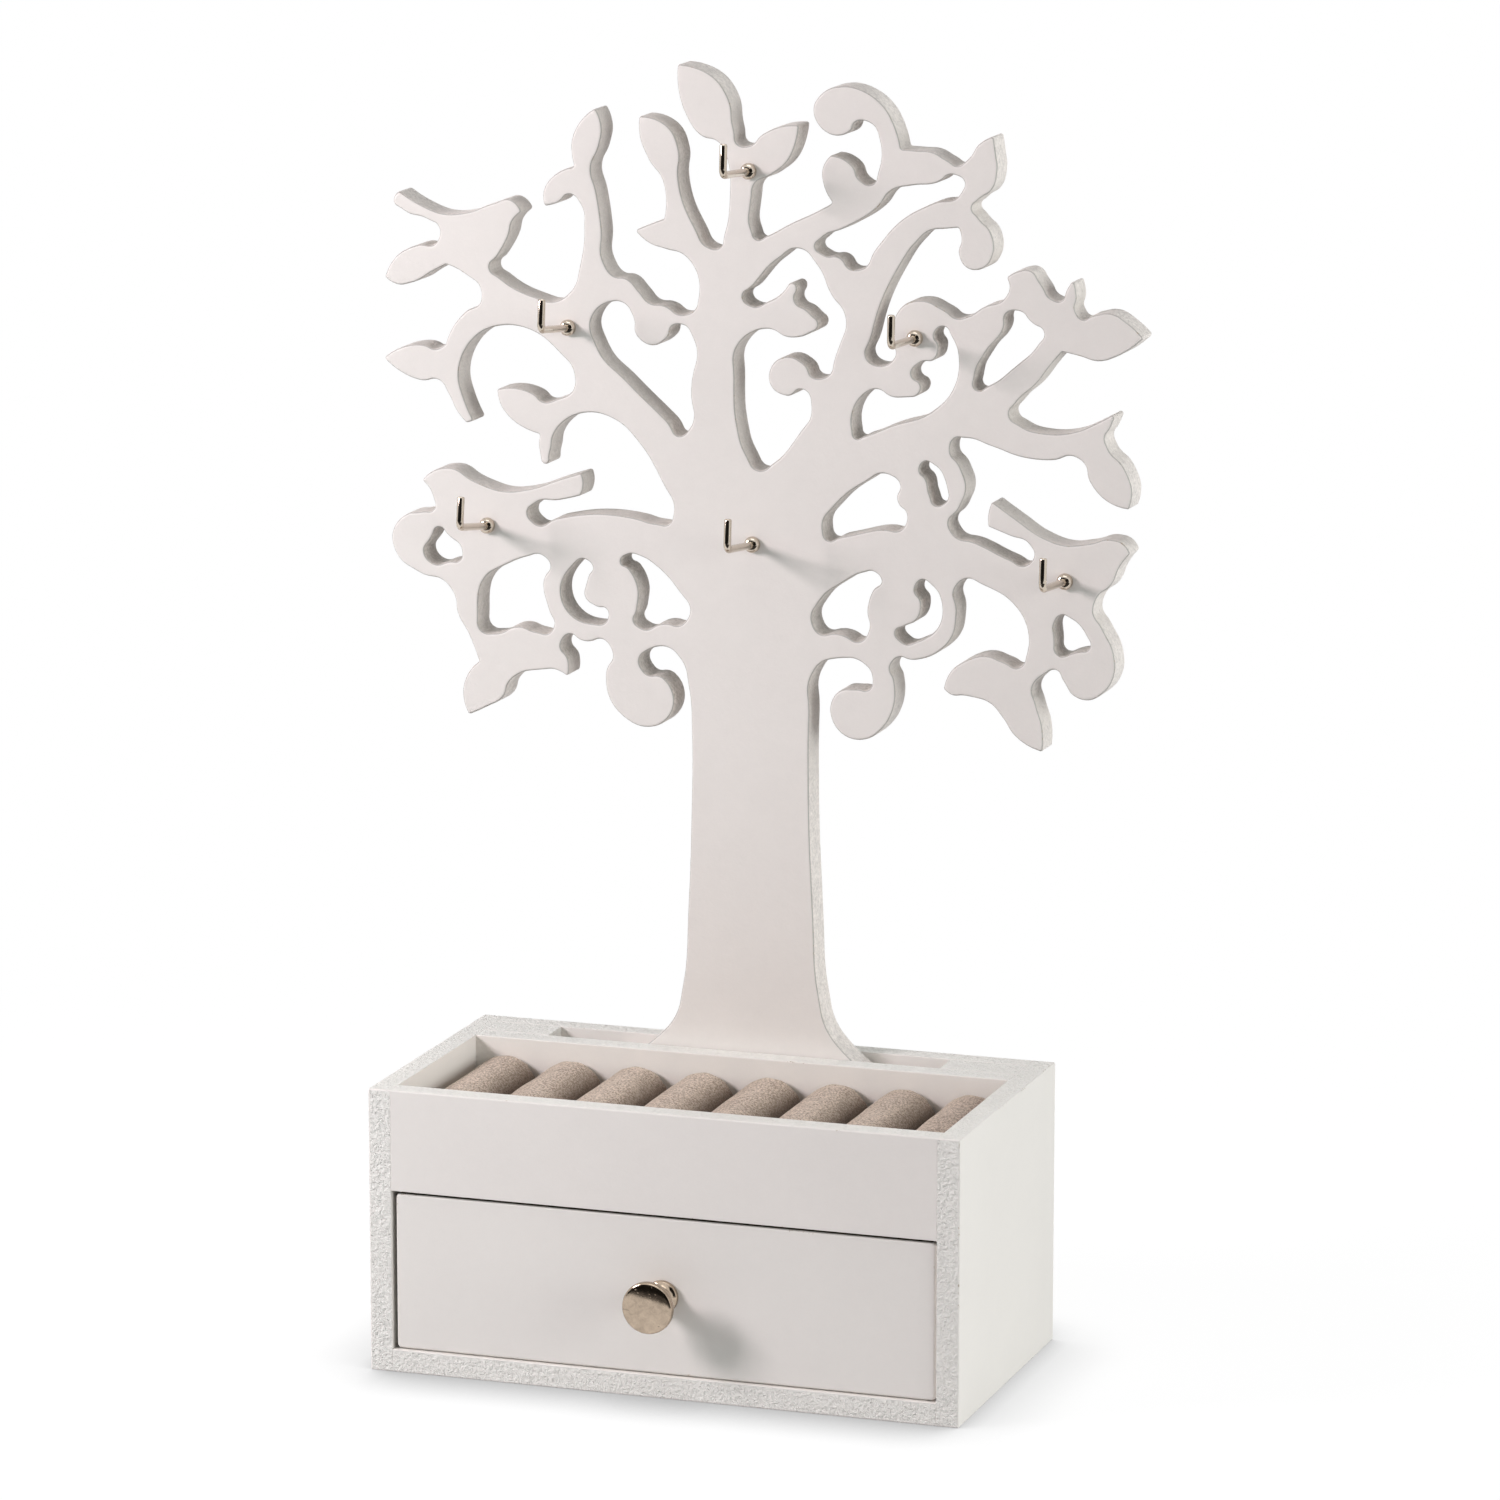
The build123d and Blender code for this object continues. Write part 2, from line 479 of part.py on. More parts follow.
def knob_screw():
    """The pan-head screw that holds the knob from inside the drawer."""
    stem = Cylinder(knob_screw_diameter / 2, board + knob_screw_grip,
                    align=(Align.CENTER, Align.CENTER, Align.MIN))
    head = Cylinder(knob_screw_head_diameter / 2, knob_screw_head_height,
                    align=(Align.CENTER, Align.CENTER, Align.MAX))
    head = fillet(head.edges().sort_by(Axis.Z)[0], knob_screw_head_height / 3)
    return knob_placed(Pos(0, 0, -board) * (stem + head))


def nodes():
    """Every piece under its own name."""
    pieces = {
        "left_side_panel": side_panel(-1),
        "right_side_panel": side_panel(1),
        "bottom_panel": block(-side_inner, side_inner, front_plane, back_panel_front, 0, board),
        "back_panel": block(-side_inner, side_inner, back_panel_front, back_plane, 0, box_height),
        "front_fascia": block(-side_inner, side_inner, front_plane, fascia_rear, opening_top, box_height),
        "tray_floor": block(-side_inner, side_inner, fascia_rear, back_panel_front,
                            opening_top, tray_floor_top),
        "tray_rear_wall": block(-side_inner, side_inner, tray_rear, slot_front, tray_floor_top, box_height),
        "left_slot_block": slot_block(-side_inner, -slot_left),
        "right_slot_block": slot_block(slot_right, side_inner),
        "tree_panel": tree_panel(),
    }
    drawer_pieces = {
        "drawer_front": drawer_front(),
        "drawer_left_side": drawer_side(-1),
        "drawer_right_side": drawer_side(1),
        "drawer_back": drawer_back(),
        "drawer_bottom": drawer_bottom(),
        "drawer_liner": drawer_liner(),
        "drawer_knob": drawer_knob(),
        "knob_screw": knob_screw(),
    }
    pieces.update({name: Pos(drawer_shift, 0, 0) * piece for name, piece in drawer_pieces.items()})
    pieces.update({f"ring_roll_{index + 1}": ring_roll(index) for index in range(roll_count)})
    pieces.update({f"hook_{name}": hook(name) for name in hook_place_shares})
    return pieces


os.makedirs("parts", exist_ok=True)
for node, shape in nodes().items():
    export_step(shape, f"parts/{node}.step")
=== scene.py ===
"""Dresses a jewelry tree: a painted fretwork board on a box with a ring tray and a drawer."""
import json
from math import asin, atan2, cos, hypot, pi, radians, sin

import bmesh
import bpy
from bpy.props import FloatProperty, FloatVectorProperty, IntProperty, PointerProperty
from mathutils import Matrix, Vector, noise
from mathutils.bvhtree import BVHTree


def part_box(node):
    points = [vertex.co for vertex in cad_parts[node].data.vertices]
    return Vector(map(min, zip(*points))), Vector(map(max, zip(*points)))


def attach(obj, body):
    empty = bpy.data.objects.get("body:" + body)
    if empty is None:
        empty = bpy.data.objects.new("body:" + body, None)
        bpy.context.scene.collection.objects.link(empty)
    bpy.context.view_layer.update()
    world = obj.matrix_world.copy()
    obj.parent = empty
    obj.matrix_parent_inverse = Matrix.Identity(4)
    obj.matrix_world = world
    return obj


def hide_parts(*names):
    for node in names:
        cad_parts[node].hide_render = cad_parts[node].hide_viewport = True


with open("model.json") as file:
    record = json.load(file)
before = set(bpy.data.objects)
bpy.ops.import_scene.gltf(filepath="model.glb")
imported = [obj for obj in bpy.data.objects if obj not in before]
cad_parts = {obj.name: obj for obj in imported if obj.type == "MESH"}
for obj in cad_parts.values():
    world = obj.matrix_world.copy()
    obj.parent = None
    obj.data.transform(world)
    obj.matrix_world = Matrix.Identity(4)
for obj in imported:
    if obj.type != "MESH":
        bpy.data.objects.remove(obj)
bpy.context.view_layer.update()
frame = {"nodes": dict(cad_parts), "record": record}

bl_info = {
    "name": "Jewelry Tree",
    "version": (1, 0, 0),
    "blender": (4, 5, 0),
    "location": "View3D > Sidebar > Jewelry Tree",
    "description": "Paints, pads and lights a jewelry tree on a box with a ring tray and a drawer",
    "category": "Object",
}

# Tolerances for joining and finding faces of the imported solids
MERGE = 1e-6
TOUCH = 1e-5
FLAT_ANGLE = radians(0.6)
CORNER_ANGLE = radians(35)
SQUARE_ANGLE = radians(60)

# How much of a face's normal lies along an axis: at least, on a board's flat face and on the fretwork's front
# and back; at most, on its sawn edges
FLAT = 0.99
FACE = 0.9
SAWN = 0.5

# Wood nearer than this across from a sawn edge gives it painted shade; it is looked for along a fan of rays
# that begins just off the edge
RECESS_SHADE_REACH = 0.05
RECESS_SHADE_GAP = 0.0003
RECESS_SHADE_FAN = tuple(radians(angle) for angle in (-60, -40, -20, 0, 20, 40, 60))

# The rolls' covers settle at this many times their size, for this many frames
CUSHION_SCALE = 10
SETTLE_FRAMES = 20

# A roll's mesh: steps round it, rings along it and rings on each end
ROLL_STEPS = 72
ROLL_RINGS = 44
CAP_RINGS = 5

# A roll's cover: the foam's waves in a metre, the folds round an end, and how many end rounds they reach in
LUMP_WAVES = 75
END_FOLDS = 11
FOLD_REACH = 3.2

# Painted shade on a roll: shares of its half width over which its right flank darkens,
# and from which it darkens where it presses on the next
FLANK_SHADE = (0.35, 0.9)
CONTACT_SHADE = (0.86, 1.0)

# The liner: its mesh's cuts, its round-over and dips as shares of its thickness, and the dips' waves
# in a metre
LINER_CUTS = (47, 21)
LINER_ROUND = 0.45
LINER_DIP = 0.16
LINER_WAVES = 38

# Steps round a wire, along its bend, and round a turned collar or screw head
WIRE_STEPS = 24
BEND_STEPS = 10
TURNED_STEPS = 32

# A quarter round in three steps: how far in and how far up each goes, as shares of the ease
ROUND_OVER_SHARES = ((0.134, 0.5), (0.366, 0.366), (0.5, 0.134))

BOX_BOARDS = (
    "left_side_panel", "right_side_panel", "bottom_panel", "back_panel", "front_fascia",
    "tray_floor", "tray_rear_wall", "left_slot_block", "right_slot_block",
)
DRAWER_BOARDS = (
    "drawer_front", "drawer_left_side", "drawer_right_side", "drawer_back", "drawer_bottom",
)
HOOKS = tuple(sorted(name for name in frame["nodes"] if name.startswith("hook_")))
ROLLS = tuple(sorted(name for name in frame["nodes"] if name.startswith("ring_roll_")))

# The knob's outline from the drawer's face to its crown: shares of its radius and of its reach
KNOB_SHARES = (
    (0.36, 0.0), (0.62, 0.0), (0.645, 0.012), (0.647, 0.06), (0.64, 0.105), (0.59, 0.12), (0.5, 0.15),
    (0.425, 0.215), (0.412, 0.32), (0.412, 0.56), (0.43, 0.64), (0.53, 0.705), (0.7, 0.76), (0.88, 0.77),
    (0.965, 0.778), (0.998, 0.80), (1.0, 0.85), (0.998, 0.905), (0.965, 0.938), (0.9, 0.952), (0.6, 0.98),
    (0.3, 0.995),
)
# The hook collar's outline: shares of its radius and of its thickness
COLLAR_SHARES = (
    (0.42, 0.0), (0.96, 0.0), (1.0, 0.06), (1.0, 0.36), (0.96, 0.55), (0.85, 0.78), (0.68, 0.94), (0.5, 1.0),
    (0.42, 1.0),
)
# The screw head's outline from its seat: shares of its radius and of its height
SCREW_SHARES = ((0.45, 0.0), (0.98, 0.0), (1.0, 0.1), (1.0, 0.5), (0.93, 0.8), (0.7, 1.0))
# Half the width of its cross recess as a share of its radius, and the recess's depth as a share of its height
CROSS_WIDTH = 0.11
CROSS_DEPTH = 0.55

# Each lamp: the setting of its power, its size, place and colour, and whether reflections show it
LAMPS = (
    ("key", 0.32, (-0.90, -0.665, 0.71), (1.0, 0.90, 0.95), True),
    ("side", 0.4, (-0.55, -0.35, 0.35), (0.5, 1.0, 0.95), False),
    ("fill", 1.4, (2.0, -0.3, 0.38), (0.97, 1.0, 1.0), False),
    ("rear", 1.2, (-0.4, 1.9, 0.55), (1.0, 1.0, 1.0), False),
    ("overhead", 1.3, (0.1, -0.2, 2.2), (1.0, 1.0, 1.0), True),
)
LAMP_AIM = Vector((0, 0.02, 0.2))
WHITE = (1, 1, 1, 1)

# The floor: half its size, the greys that it bounces and shows, its glow, and where it turns plain white
FLOOR_HALF = 12
FLOOR_BOUNCE = (0.54, 0.54, 0.54, 1)
FLOOR_LIT = (0.06, 0.06, 0.06, 1)
FLOOR_GLOW = 0.96
FLOOR_FADE = (0.28, 0.6)

# The shadow at the object's foot: its reach, how open the air is at its core and rim, and its depth;
# where it thins beside the box, and by how much
SHADOW_REACH = 0.036
SHADOW_AIR = (0.44, 0.955)
SHADOW_DEPTH = 0.54
SHADOW_BESIDE = (0.098, 0.112)
SHADOW_THINNED = 0.5

# The dark card: where its upright part begins, how far that sweeps and its outline as reach and height;
# the corners of its flat part, and how high that lies
CARD_BEGIN = radians(-60)
CARD_SWEEP = radians(118)
CARD_STEPS = 20
CARD_OUTLINE = ((3.0, 0.003), (3.2, 0.003), (3.2, 2.6))
CARD_CORNERS = ((0.079, -0.21), (-2.4, -2.4), (-1.5, -3.1), (1.3, -3.1), (1.3, -0.21))
CARD_UP = 0.004
CARD_BLACK = (0.02, 0.018, 0.015, 1)


def size_prop(name, description, default):
    """A length that a user may change."""
    return FloatProperty(name=name, description=description, default=default, min=0, precision=5,
                         unit="LENGTH")


def color_prop(name, description, default):
    """A linear colour that a user may change."""
    return FloatVectorProperty(name=name, description=description, default=default, size=3, min=0, max=1,
                               subtype="COLOR")


def share_prop(name, description, default):
    """A share from none to all."""
    return FloatProperty(name=name, description=description, default=default, min=0, max=1, subtype="FACTOR")


class PaintSettings(bpy.types.PropertyGroup):
    """Sizes and colours of the painted boards."""
    tree_color: color_prop("Tree paint", "Colour of the fretwork's faces", (0.828, 0.789, 0.745))
    box_color: color_prop("Box paint", "Colour of the box's faces", (0.85, 0.815, 0.77))
    drawer_color: color_prop("Drawer paint", "Colour of the drawer's front", (0.842, 0.812, 0.766))
    sawn_color: color_prop("Sawn edge paint", "Colour of the fretwork's sawn edges", (0.87, 0.812, 0.765))
    # Painted shade: the sawn edges darken to this colour where wood stands close across from them
    recess_shade_color: color_prop("Thin paint", "Colour of the sawn edges where little paint reached",
                           (0.50, 0.465, 0.415))
    # Painted shade: the box's paint made a touch darker for the tray's rear wall
    tray_wall_shade_color: color_prop("Tray paint", "Colour of the tray's rear wall", (0.845, 0.815, 0.765))
    edge_color: color_prop("Board edge paint", "Colour of the boards' edges", (0.89, 0.876, 0.824))
    fleck_color: color_prop("Fleck", "Colour where the paint is rubbed thin", (0.42, 0.33, 0.23))
    # Bare fibreboard, partly painted shadow: darkened well past raw board for the shade in the gap above the
    # drawer
    bare_edge_shade_color: color_prop("Bare board", "Colour of the fibreboard where it has no paint",
                           (0.15, 0.11, 0.075))
    tree_ease: size_prop("Fretwork ease", "Round-over along the fretwork's edges", 0.0009)
    outer_ease: size_prop("Outer ease", "Round-over along the box's outer edges", 0.0006)
    lip_ease: size_prop("Lip ease", "Round-over along the drawer's opening and the tray's rim", 0.0004)
    seam_ease: size_prop("Seam ease", "Round-over where two boards meet", 0.00012)
    drawer_ease: size_prop("Drawer ease", "Round-over along the drawer's boards", 0.0004)


class RollSettings(bpy.types.PropertyGroup):
    """Form and colours of the padded pieces."""
    light_color: color_prop("Suede, raised nap", "Colour of the nap that catches light", (0.75, 0.62, 0.515))
    dark_color: color_prop("Suede, laid nap", "Colour of the nap that lies flat", (0.30, 0.23, 0.18))
    liner_color: color_prop("Liner felt", "Colour of the drawer's liner", (0.36, 0.285, 0.235))
    end_round: size_prop("End round", "Round-over at a roll's ends", 0.0017)
    lumps: size_prop("Lumps", "How far the foam's surface rises and falls", 0.00028)
    gathers: size_prop("Gathers", "Depth of the folds at a roll's ends", 0.00035)
    slack: size_prop("Slack", "How much smaller a roll is before its foam swells", 0.0004)
    swell: size_prop("Swell", "How far a roll's cover may move while it settles", 0.0007)
    press_gap: size_prop("Press gap", "Space left between two rolls where they press", 0.0002)
    fill: share_prop("Fill", "How full the rolls are", 0.95)


class MetalSettings(bpy.types.PropertyGroup):
    """Sizes and colours of the hooks, the knob and its screw."""
    nickel_color: color_prop("Nickel", "Colour of the hooks", (0.60, 0.525, 0.44))
    knob_color: color_prop("Worn nickel", "Colour of the knob's worn plating", (0.48, 0.385, 0.295))
    zinc_color: color_prop("Zinc", "Colour of the knob's screw", (0.62, 0.64, 0.66))
    wire: size_prop("Hook wire", "Diameter of a hook's wire", 0.0026)
    reach: size_prop("Hook reach", "How far a hook's wire runs before its bend", 0.0255)
    rise: size_prop("Hook rise", "Height of a hook's upturned end", 0.0105)
    bend: size_prop("Hook bend", "Radius of a hook's bend", 0.0022)
    collar: size_prop("Collar", "Diameter of a hook's collar", 0.0056)
    collar_thickness: size_prop("Collar thickness", "Thickness of a hook's collar", 0.0026)
    screw_length: size_prop("Hook screw", "Length of a hook's screw in the board", 0.008)
    knob_turns: IntProperty(name="Knob steps", description="Steps round the knob", default=40, min=8)


class StageSettings(bpy.types.PropertyGroup):
    """Camera, lights and floor."""
    camera_place: FloatVectorProperty(name="Camera", description="Where the camera stands", size=3,
                                      default=(0.78215, -2.2448, 0.7121), subtype="TRANSLATION")
    azimuth: FloatProperty(name="Azimuth", description="How far right of the front the camera stands",
                           default=radians(18.915), subtype="ANGLE")
    elevation: FloatProperty(name="Elevation", description="How far the camera looks down",
                             default=radians(11.875), subtype="ANGLE")
    lens: FloatProperty(name="Lens", description="Focal length in millimetres", default=172.626,
                        unit="CAMERA")
    sky: FloatProperty(name="Sky", description="Strength of the even light from all round", default=0.14)
    key: FloatProperty(name="Key", description="Power of the lamp at the left", default=12.45, unit="POWER")
    fill: FloatProperty(name="Fill", description="Power of the large lamp at the right", default=38.2,
                        unit="POWER")
    side: FloatProperty(name="Side", description="Power of the cool lamp close to the left", default=0.53,
                        unit="POWER")
    rear: FloatProperty(name="Rear", description="Power of the large lamp behind", default=13.0, unit="POWER")
    overhead: FloatProperty(name="Overhead", description="Power of the large lamp above", default=6.6,
                            unit="POWER")


class Signal:
    """An output socket in a node tree; arithmetic with numbers or other signals adds Math nodes."""

    def __init__(self, tree, socket=None):
        self.tree = tree
        self.socket = socket

    def node(self, kind, settings, inputs, output=0):
        """Adds a node of any type, its settings first and then its sockets' values or links."""
        made = self.tree.nodes.new(kind)
        for name, value in settings.items():
            setattr(made, name, value)
        for name, value in inputs.items():
            if isinstance(value, Signal):
                self.tree.links.new(value.socket, made.inputs[name])
            else:
                made.inputs[name].default_value = value
        return Signal(self.tree, None if output is None else made.outputs[output])

    def math(self, operation, first, second):
        """A Math node on two values or signals."""
        return self.node("ShaderNodeMath", {"operation": operation}, {0: first, 1: second})

    def __add__(self, other):
        return self.math("ADD", self, other)

    def __sub__(self, other):
        return self.math("SUBTRACT", self, other)

    def __rsub__(self, other):
        return self.math("SUBTRACT", other, self)

    def __mul__(self, other):
        return self.math("MULTIPLY", self, other)

    __radd__ = __add__
    __rmul__ = __mul__

    def object_place(self):
        """Where the point is on the piece, in metres."""
        return self.node("ShaderNodeTexCoord", {}, {}, "Object")

    def grain(self, place, scale, detail=2.0, roughness=0.5, distortion=0.0):
        """Noise with about this many waves in a metre, from 0 to 1."""
        return self.node("ShaderNodeTexNoise", {}, {
            "Vector": place, "Scale": scale, "Detail": detail, "Roughness": roughness,
            "Distortion": distortion,
        })

    def step(self, low, high):
        """0 below low, 1 above high and a ramp between."""
        return self.node("ShaderNodeMapRange", {}, {
            "Value": self, "From Min": low, "From Max": high, "To Min": 0.0, "To Max": 1.0,
        })

    def blend(self, first, second):
        """A colour between two, by this signal."""
        return self.node("ShaderNodeMix", {"data_type": "RGBA"}, {0: self, 6: first, 7: second}, 2)

    def bump(self, distance):
        """A normal from this height."""
        return self.node("ShaderNodeBump", {}, {"Height": self, "Distance": distance, "Strength": 1.0})

    def stretched(self, factors):
        """This place with its axes stretched."""
        return self.node("ShaderNodeMapping", {}, {"Vector": self, "Scale": factors})

    def feed(self, node, socket):
        """Links this signal to a node's socket."""
        self.tree.links.new(self.socket, node.inputs[socket])


def tinted(color, factor):
    """A colour made lighter or darker, with its alpha."""
    return (*(min(1.0, channel * factor) for channel in color), 1.0)


def new_material(name, **constants):
    """A material, its shader with the values that hold all over, and a first signal."""
    material = bpy.data.materials.new(name)
    material.use_nodes = True
    shader = material.node_tree.nodes["Principled BSDF"]
    for socket, value in constants.items():
        shader.inputs[socket.replace("_", " ")].default_value = value
    return material, shader, Signal(material.node_tree)


def paint_material(name, color, peel, pits=0.0, stipple=560, contrast=0.025, speckle=0.0, thin=None):
    """Satin paint: faint clouds, a roller's peel and, on edges, stipple, open pits and painted shade where
    wood stands close across.
    """
    material, shader, start = new_material(name, Specular_IOR_Level=0.4)
    place = start.object_place()
    clouds = start.grain(place, 16, 3.0, 0.55)
    mist = start.grain(place, 240, 3.0, 0.6)
    fine = start.grain(place, 1900, 2.0)
    relief = start.grain(place, stipple, 2.0, 0.5, 0.3)
    tone = clouds * (0.55 - 0.5 * speckle) + mist * 0.25 + fine * 0.2 + relief * (0.5 * speckle)
    shade = tone.step(0.3 + 0.06 * speckle, 0.7 - 0.06 * speckle)
    base = shade.blend(tinted(color, 1 - 1.4 * contrast), tinted(color, 1 + 0.6 * contrast))
    holes = 1.0 - start.grain(place, 1150, 1.0).step(0.27, 0.36)
    if pits:
        base = (holes * pits).blend(base, tinted(color, 0.62))
    # Painted shade: darker where wood stands close across from a sawn edge, broken up by the stipple
    if thin:
        shelter = start.node("ShaderNodeAttribute", {"attribute_name": "shelter"}, {}, "Fac")
        base = (shelter * (0.3 + 0.8 * relief.step(0.42, 0.58))).blend(base, tinted(thin, 1.0))
    base.feed(shader, "Base Color")
    (0.44 + mist * 0.16).feed(shader, "Roughness")
    skin = relief * 0.7 + fine * 0.3 - holes * pits
    skin.bump(peel).feed(shader, "Normal")
    return material


def rubbed_material(name, color, fleck, wear=0.0):
    """Paint along an eased edge: darker with wear, with flecks where it is rubbed thin."""
    material, shader, start = new_material(name, Specular_IOR_Level=0.4)
    place = start.object_place()
    patches = start.grain(place, 70, 2.0).step(0.60 - 0.12 * wear, 0.68 - 0.08 * wear)
    specks = start.grain(place, 900, 3.0, 0.65).step(0.58, 0.64)
    worn = patches * specks
    shade = start.grain(place, 300, 3.0)
    base = shade.blend(tinted(color, 0.95 - 0.45 * wear), tinted(color, 1.03 - 0.3 * wear))
    (worn * 0.75).blend(base, tinted(fleck, 1.0)).feed(shader, "Base Color")
    (0.46 + worn * 0.3).feed(shader, "Roughness")
    (shade - worn).bump(0.00006).feed(shader, "Normal")
    return material


def bare_shaded_material(name, color):
    """Bare fibreboard darkened past its own colour as painted shadow: short matted fibres without gloss."""
    material, shader, start = new_material(name, Roughness=0.95, Specular_IOR_Level=0.1)
    fibres = start.grain(start.object_place().stretched((0.4, 1.0, 1.0)), 1400, 3.0, 0.65)
    fibres.step(0.35, 0.65).blend(tinted(color, 0.75), tinted(color, 1.2)).feed(shader, "Base Color")
    fibres.bump(0.0001).feed(shader, "Normal")
    return material


def suede_material(name, light, dark):
    """Brushed microsuede: fine speckled nap, brushed patches, a soft sheen, and painted shade where a piece
    notes it.
    """
    material, shader, start = new_material(
        name, Roughness=0.93, Specular_IOR_Level=0.12, Sheen_Weight=0.28, Sheen_Roughness=0.45,
        Sheen_Tint=(0.86, 0.78, 0.70, 1.0),
    )
    place = start.object_place()
    nap = start.grain(place.stretched((1.0, 0.8, 1.0)), 1500, 2.0, 0.6)
    fluff = start.grain(place, 2600, 1.0)
    brushed = start.grain(place.stretched((1.0, 0.5, 1.0)), 75, 2.0, 0.6, 0.8)
    tone = (nap * 0.72 + fluff * 0.14 + brushed * 0.14).step(0.40, 0.60)
    # Painted shade: darker over each roll's right flank and where the rolls meet, from the attribute the
    # rolls note
    pressed = start.node("ShaderNodeAttribute", {"attribute_name": "crease"}, {}, "Fac")
    brushed_color = tone.blend((*dark, 1.0), (*light, 1.0))
    (pressed * 0.9).blend(brushed_color, tinted(dark, 0.3)).feed(shader, "Base Color")
    (nap * 0.7 + fluff * 0.3).bump(0.00035).feed(shader, "Normal")
    return material


def metal_material(name, color, smooth, scratch, patina=0.05):
    """Plated metal with faint smears, fine rubbing marks and a few pinholes."""
    material, shader, start = new_material(name, Metallic=1.0)
    place = start.object_place()
    smears = start.grain(place, 420, 4.0, 0.68, 0.5)
    marks = start.grain(place.stretched((1.0, 6.0, 0.35)), 900, 3.0, 0.6)
    pinholes = 1.0 - start.grain(place, 820, 0.0).step(0.17, 0.22)
    base = smears.step(0.3, 0.7).blend(tinted(color, 1 - patina), tinted(color, 1 + 0.7 * patina))
    (pinholes * 0.5).blend(base, tinted(color, 0.45)).feed(shader, "Base Color")
    (smooth + smears * 0.07 + marks.step(0.55, 0.75) * 0.06 + pinholes * 0.2).feed(shader, "Roughness")
    (marks * 0.5 - pinholes).bump(scratch).feed(shader, "Normal")
    return material


def merged_copy(node):
    """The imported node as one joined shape."""
    shape = bmesh.new()
    shape.from_mesh(frame["nodes"][node].data)
    bmesh.ops.remove_doubles(shape, verts=shape.verts, dist=MERGE)
    return shape


def joined_flats(shape):
    """Joins the triangles of each flat area."""
    bmesh.ops.dissolve_limit(shape, angle_limit=FLAT_ANGLE, verts=shape.verts, edges=shape.edges)


def body_of(node):
    """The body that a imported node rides."""
    return next(body for body, members in frame["record"]["behaviour"]["bodies"].items() if node in members)


def finished(name, shape, materials, slot, *nodes):
    """Makes an object of a shape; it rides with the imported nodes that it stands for."""
    mesh = bpy.data.meshes.new(name)
    shape.to_mesh(mesh)
    shape.free()
    for material in materials:
        mesh.materials.append(material)
    piece = bpy.data.objects.new(name, mesh)
    bpy.context.scene.collection.objects.link(piece)
    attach(piece, body_of(nodes[0]))
    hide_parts(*nodes)
    return piece


def crisp(piece):
    """Smooth shading that keeps corners sharp and flat faces flat."""
    piece.data.shade_smooth()
    piece.data.set_sharp_from_angle(angle=CORNER_ANGLE)
    weighted = piece.modifiers.new("Flat faces lead", "WEIGHTED_NORMAL")
    weighted.keep_sharp = True


def square_edges(shape, least):
    """Edges longer than least where two faces meet at a corner."""
    return [edge for edge in shape.edges if edge.is_manifold and edge.calc_face_angle() > SQUARE_ANGLE
            and edge.calc_length() > least]


def eased(shape, edges, ease, segments):
    """Rounds edges over in a few steps."""
    bmesh.ops.bevel(shape, geom=edges, offset=ease, offset_type="OFFSET", affect="EDGES", segments=segments,
                    profile=0.5, material=-1, clamp_overlap=True)


def ramp(value, low, high):
    """0 below low, 1 above high and even between."""
    return max(0.0, min(1.0, (value - low) / (high - low)))


def on_outer_edge(edge, low, high):
    """Whether an edge lies on two of a box's outer planes."""
    middle = (edge.verts[0].co + edge.verts[1].co) / 2
    return sum(min(abs(middle[axis] - low[axis]), abs(middle[axis] - high[axis])) < TOUCH
               for axis in range(3)) >= 2


def runs_along_x(edge):
    """Whether an edge runs across the box."""
    way = edge.verts[1].co - edge.verts[0].co
    return abs(way.x) > way.length / 2


def thin_axis(node):
    """The axis across a board."""
    low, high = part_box(node)
    sizes = [high[axis] - low[axis] for axis in range(3)]
    return sizes.index(min(sizes))


def coated(shape, node, bare=0):
    """Gives a board's faces coat 0, its edges 1, its eased corners 2 and a bare upper or lower edge 3, which
    carries painted shadow.
    """
    across = thin_axis(node)
    shape.normal_update()
    for face in shape.faces:
        leading = max(range(3), key=lambda axis: abs(face.normal[axis]))
        if abs(face.normal[leading]) < FLAT:
            face.material_index = 2
        elif leading == 2 and face.normal.z * bare > 0:
            face.material_index = 3
        else:
            face.material_index = 0 if leading == across else 1


